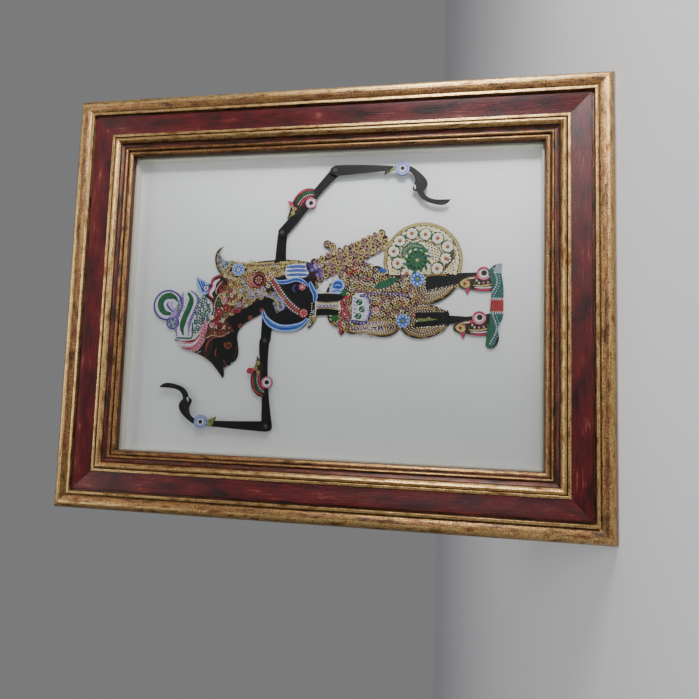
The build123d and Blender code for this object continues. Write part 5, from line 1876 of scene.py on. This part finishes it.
@dataclass
class Arms:
    """The four arm plates, black with painted armlets and bracelets, and the horn rivets.

    Attributes:
        armlets: each upper arm's CAD plate and the armlet on it.
    """

    armlets: tuple[tuple[str, Armlet], ...] = (("front_upper_arm", FRONT_ARMLET),
        ("rear_upper_arm", REAR_ARMLET))

    def build(self) -> None:
        """Draws and makes both arms."""
        for node, armlet in self.armlets:
            hide = Leather(node, node, Paint.BLACK)
            armlet.draw(hide)
            hide.build()
        self.forearm("front_forearm", (-87.6, 88.3), -1)
        self.forearm("rear_forearm", (96.6, -53.6), 1)
        Dressing(HORN, ("front_shoulder_rivet", "rear_shoulder_rivet", "front_elbow_rivet",
            "rear_elbow_rivet")).apply()

    @staticmethod
    def forearm(node: str, bracelet: Point, way: int) -> None:
        """A forearm: ringed bracelet, olive tuft at the wrist, pale nails.

        Args:
            node: the CAD plate.
            bracelet: the middle of the bracelet's ring.
            way: -1 for the raised front arm, 1 for the hanging rear arm.
        """
        hide = Leather(node, node, Paint.BLACK)
        x, z = bracelet
        hide.target(x, z, (Paint.BLUE, 5.1), (Paint.LILAC, 3.7), (Paint.WHITE, 2.5),
            (Paint.INK, 1.5))
        hide.line(Paint.SKY, 1.0, ring(x, z, 4.3, 12).tolist(), closed=True)
        below = -7.2 if way < 0 else 7.4
        hide.region(Paint.OLIVE, [(x - 3, z + below * 0.8), (x + 1.4, z + below * 0.8), (x + 3.6 *
            -way, z + below * 1.5), (x - 1.6, z + below * 1.3)])
        hide.beads(Paint.CREAM, 0.45, [(x - 2.6, z + below * 0.78), (x + 1.6, z + below * 0.78)],
            1.3)
        tip = (-72.0, 99.0) if way < 0 else (82.5, -62.4)
        hide.region(Paint.WHITE, [(tip[0] - 1.6, tip[1] - 0.6), (tip[0] + 1.4, tip[1] + 0.9),
            (tip[0] + 1.6, tip[1] - 0.6)])
        knuckles = ((-80, 99.4), (-77, 100.8)) if way < 0 else ((90, -64.6), (87, -66))
        for kx, kz in knuckles:
            hide.line(Paint.BROWN, 0.6, [(kx - 1, kz - 1), (kx, kz + 0.2), (kx + 1.2, kz + 0.4)],
                (0.3, 0.3))
        hide.build()


# ---- floor, light and camera -----------------------------------------------------------------
@dataclass(frozen=True)
class Lamp:
    """One soft rectangular light.

    Attributes:
        name: the light's name.
        place: where it hangs, in metres.
        aim: the point that it faces.
        size: its width and height.
        power: its power in watts.
    """

    name: str
    place: Place
    aim: Place
    size: Point
    power: float

    def hang(self) -> None:
        """Adds the light to the scene."""
        data = bpy.data.lights.new(self.name, "AREA")
        data.shape, data.size, data.size_y = "RECTANGLE", *self.size
        data.energy = self.power
        hung = bpy.data.objects.new(self.name, data)
        hung.location = self.place
        facing = Vector(self.aim) - Vector(self.place)
        hung.rotation_euler = facing.to_track_quat("-Z", "Y").to_euler()
        bpy.context.scene.collection.objects.link(hung)


@dataclass
class Studio:
    """A pale floor under the frame, soft lights, and the camera.

    Attributes:
        lens: focal length in millimetres on a 36 mm sensor.
        eye: the camera's place in the row's frame, in metres.
        right, up, forward: the camera's axes.
        sensor, near: the sensor's width in millimetres, and the nearest distance seen in metres.
        reach: how far the floor runs from the middle, in metres.
        sky, sky_strength: the colour and the strength of the light from all round.
        lamps: the lights.
    """

    lens: float = 26.66
    eye: Place = (-0.05971, -0.36688, -0.26017)
    right: Place = (0.03058, 0.15171, -0.98795)
    up: Place = (0.99680, -0.07762, 0.01894)
    forward: Place = (0.07381, 0.98537, 0.15359)
    sensor: float = 36
    near: float = 0.01
    reach: float = 6
    sky: str = "#F3F4F6"
    sky_strength: float = 0.22
    lamps: tuple[Lamp, ...] = (
        Lamp("window", (0.52, -0.42, -0.31), (0, 0, -0.22), (0.3, 0.2), 11.5),
        Lamp("above", (0.1, -1.3, 1.45), (0, 0, -0.2), (0.8, 0.8), 22.0))

    def build(self) -> None:
        """Lays the floor, hangs the lights, and sets the camera."""
        self.floor()
        world = bpy.data.worlds.new("pale_room")
        world.use_nodes = True
        sky = world.node_tree.nodes["Background"]
        sky.inputs["Color"].default_value = linear(self.sky)
        sky.inputs["Strength"].default_value = self.sky_strength
        bpy.context.scene.world = world
        for lamp in self.lamps:
            lamp.hang()
        self.camera()

    def floor(self) -> None:
        """A plain pale floor, wide enough to fill the view, at the frame's lowest point."""
        low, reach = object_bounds()[0].z, self.reach
        mesh = bpy.data.meshes.new("floor")
        mesh.from_pydata([(-reach, -reach, low), (reach, -reach, low), (reach, reach, low),
                          (-reach, reach, low)], [], [(0, 1, 2, 3)])
        mesh.materials.append(FLOOR_PAPER.material())
        laid = bpy.data.objects.new("floor", mesh)
        bpy.context.scene.collection.objects.link(laid)
        laid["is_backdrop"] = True

    def camera(self) -> None:
        """Sets the camera from its place and axes."""
        data = bpy.data.cameras.new("camera")
        data.lens, data.sensor_width = self.lens, self.sensor
        data.clip_start = self.near
        held = bpy.data.objects.new("camera", data)
        axes = Matrix([self.right, self.up, [-f for f in self.forward]]).transposed().to_4x4()
        axes.translation = self.eye
        held.matrix_world = axes
        bpy.context.scene.collection.objects.link(held)
        bpy.context.scene.camera = held


def main() -> None:
    """Builds the frame and its picture in order."""
    logging.basicConfig(level=logging.INFO, format="%(message)s")
    Moulding().build()
    PictureSheets().build()
    BackHardware().build()
    FigureBody().build()
    Arms().build()
    Studio().build()


if __name__ == "__main__":
    main()
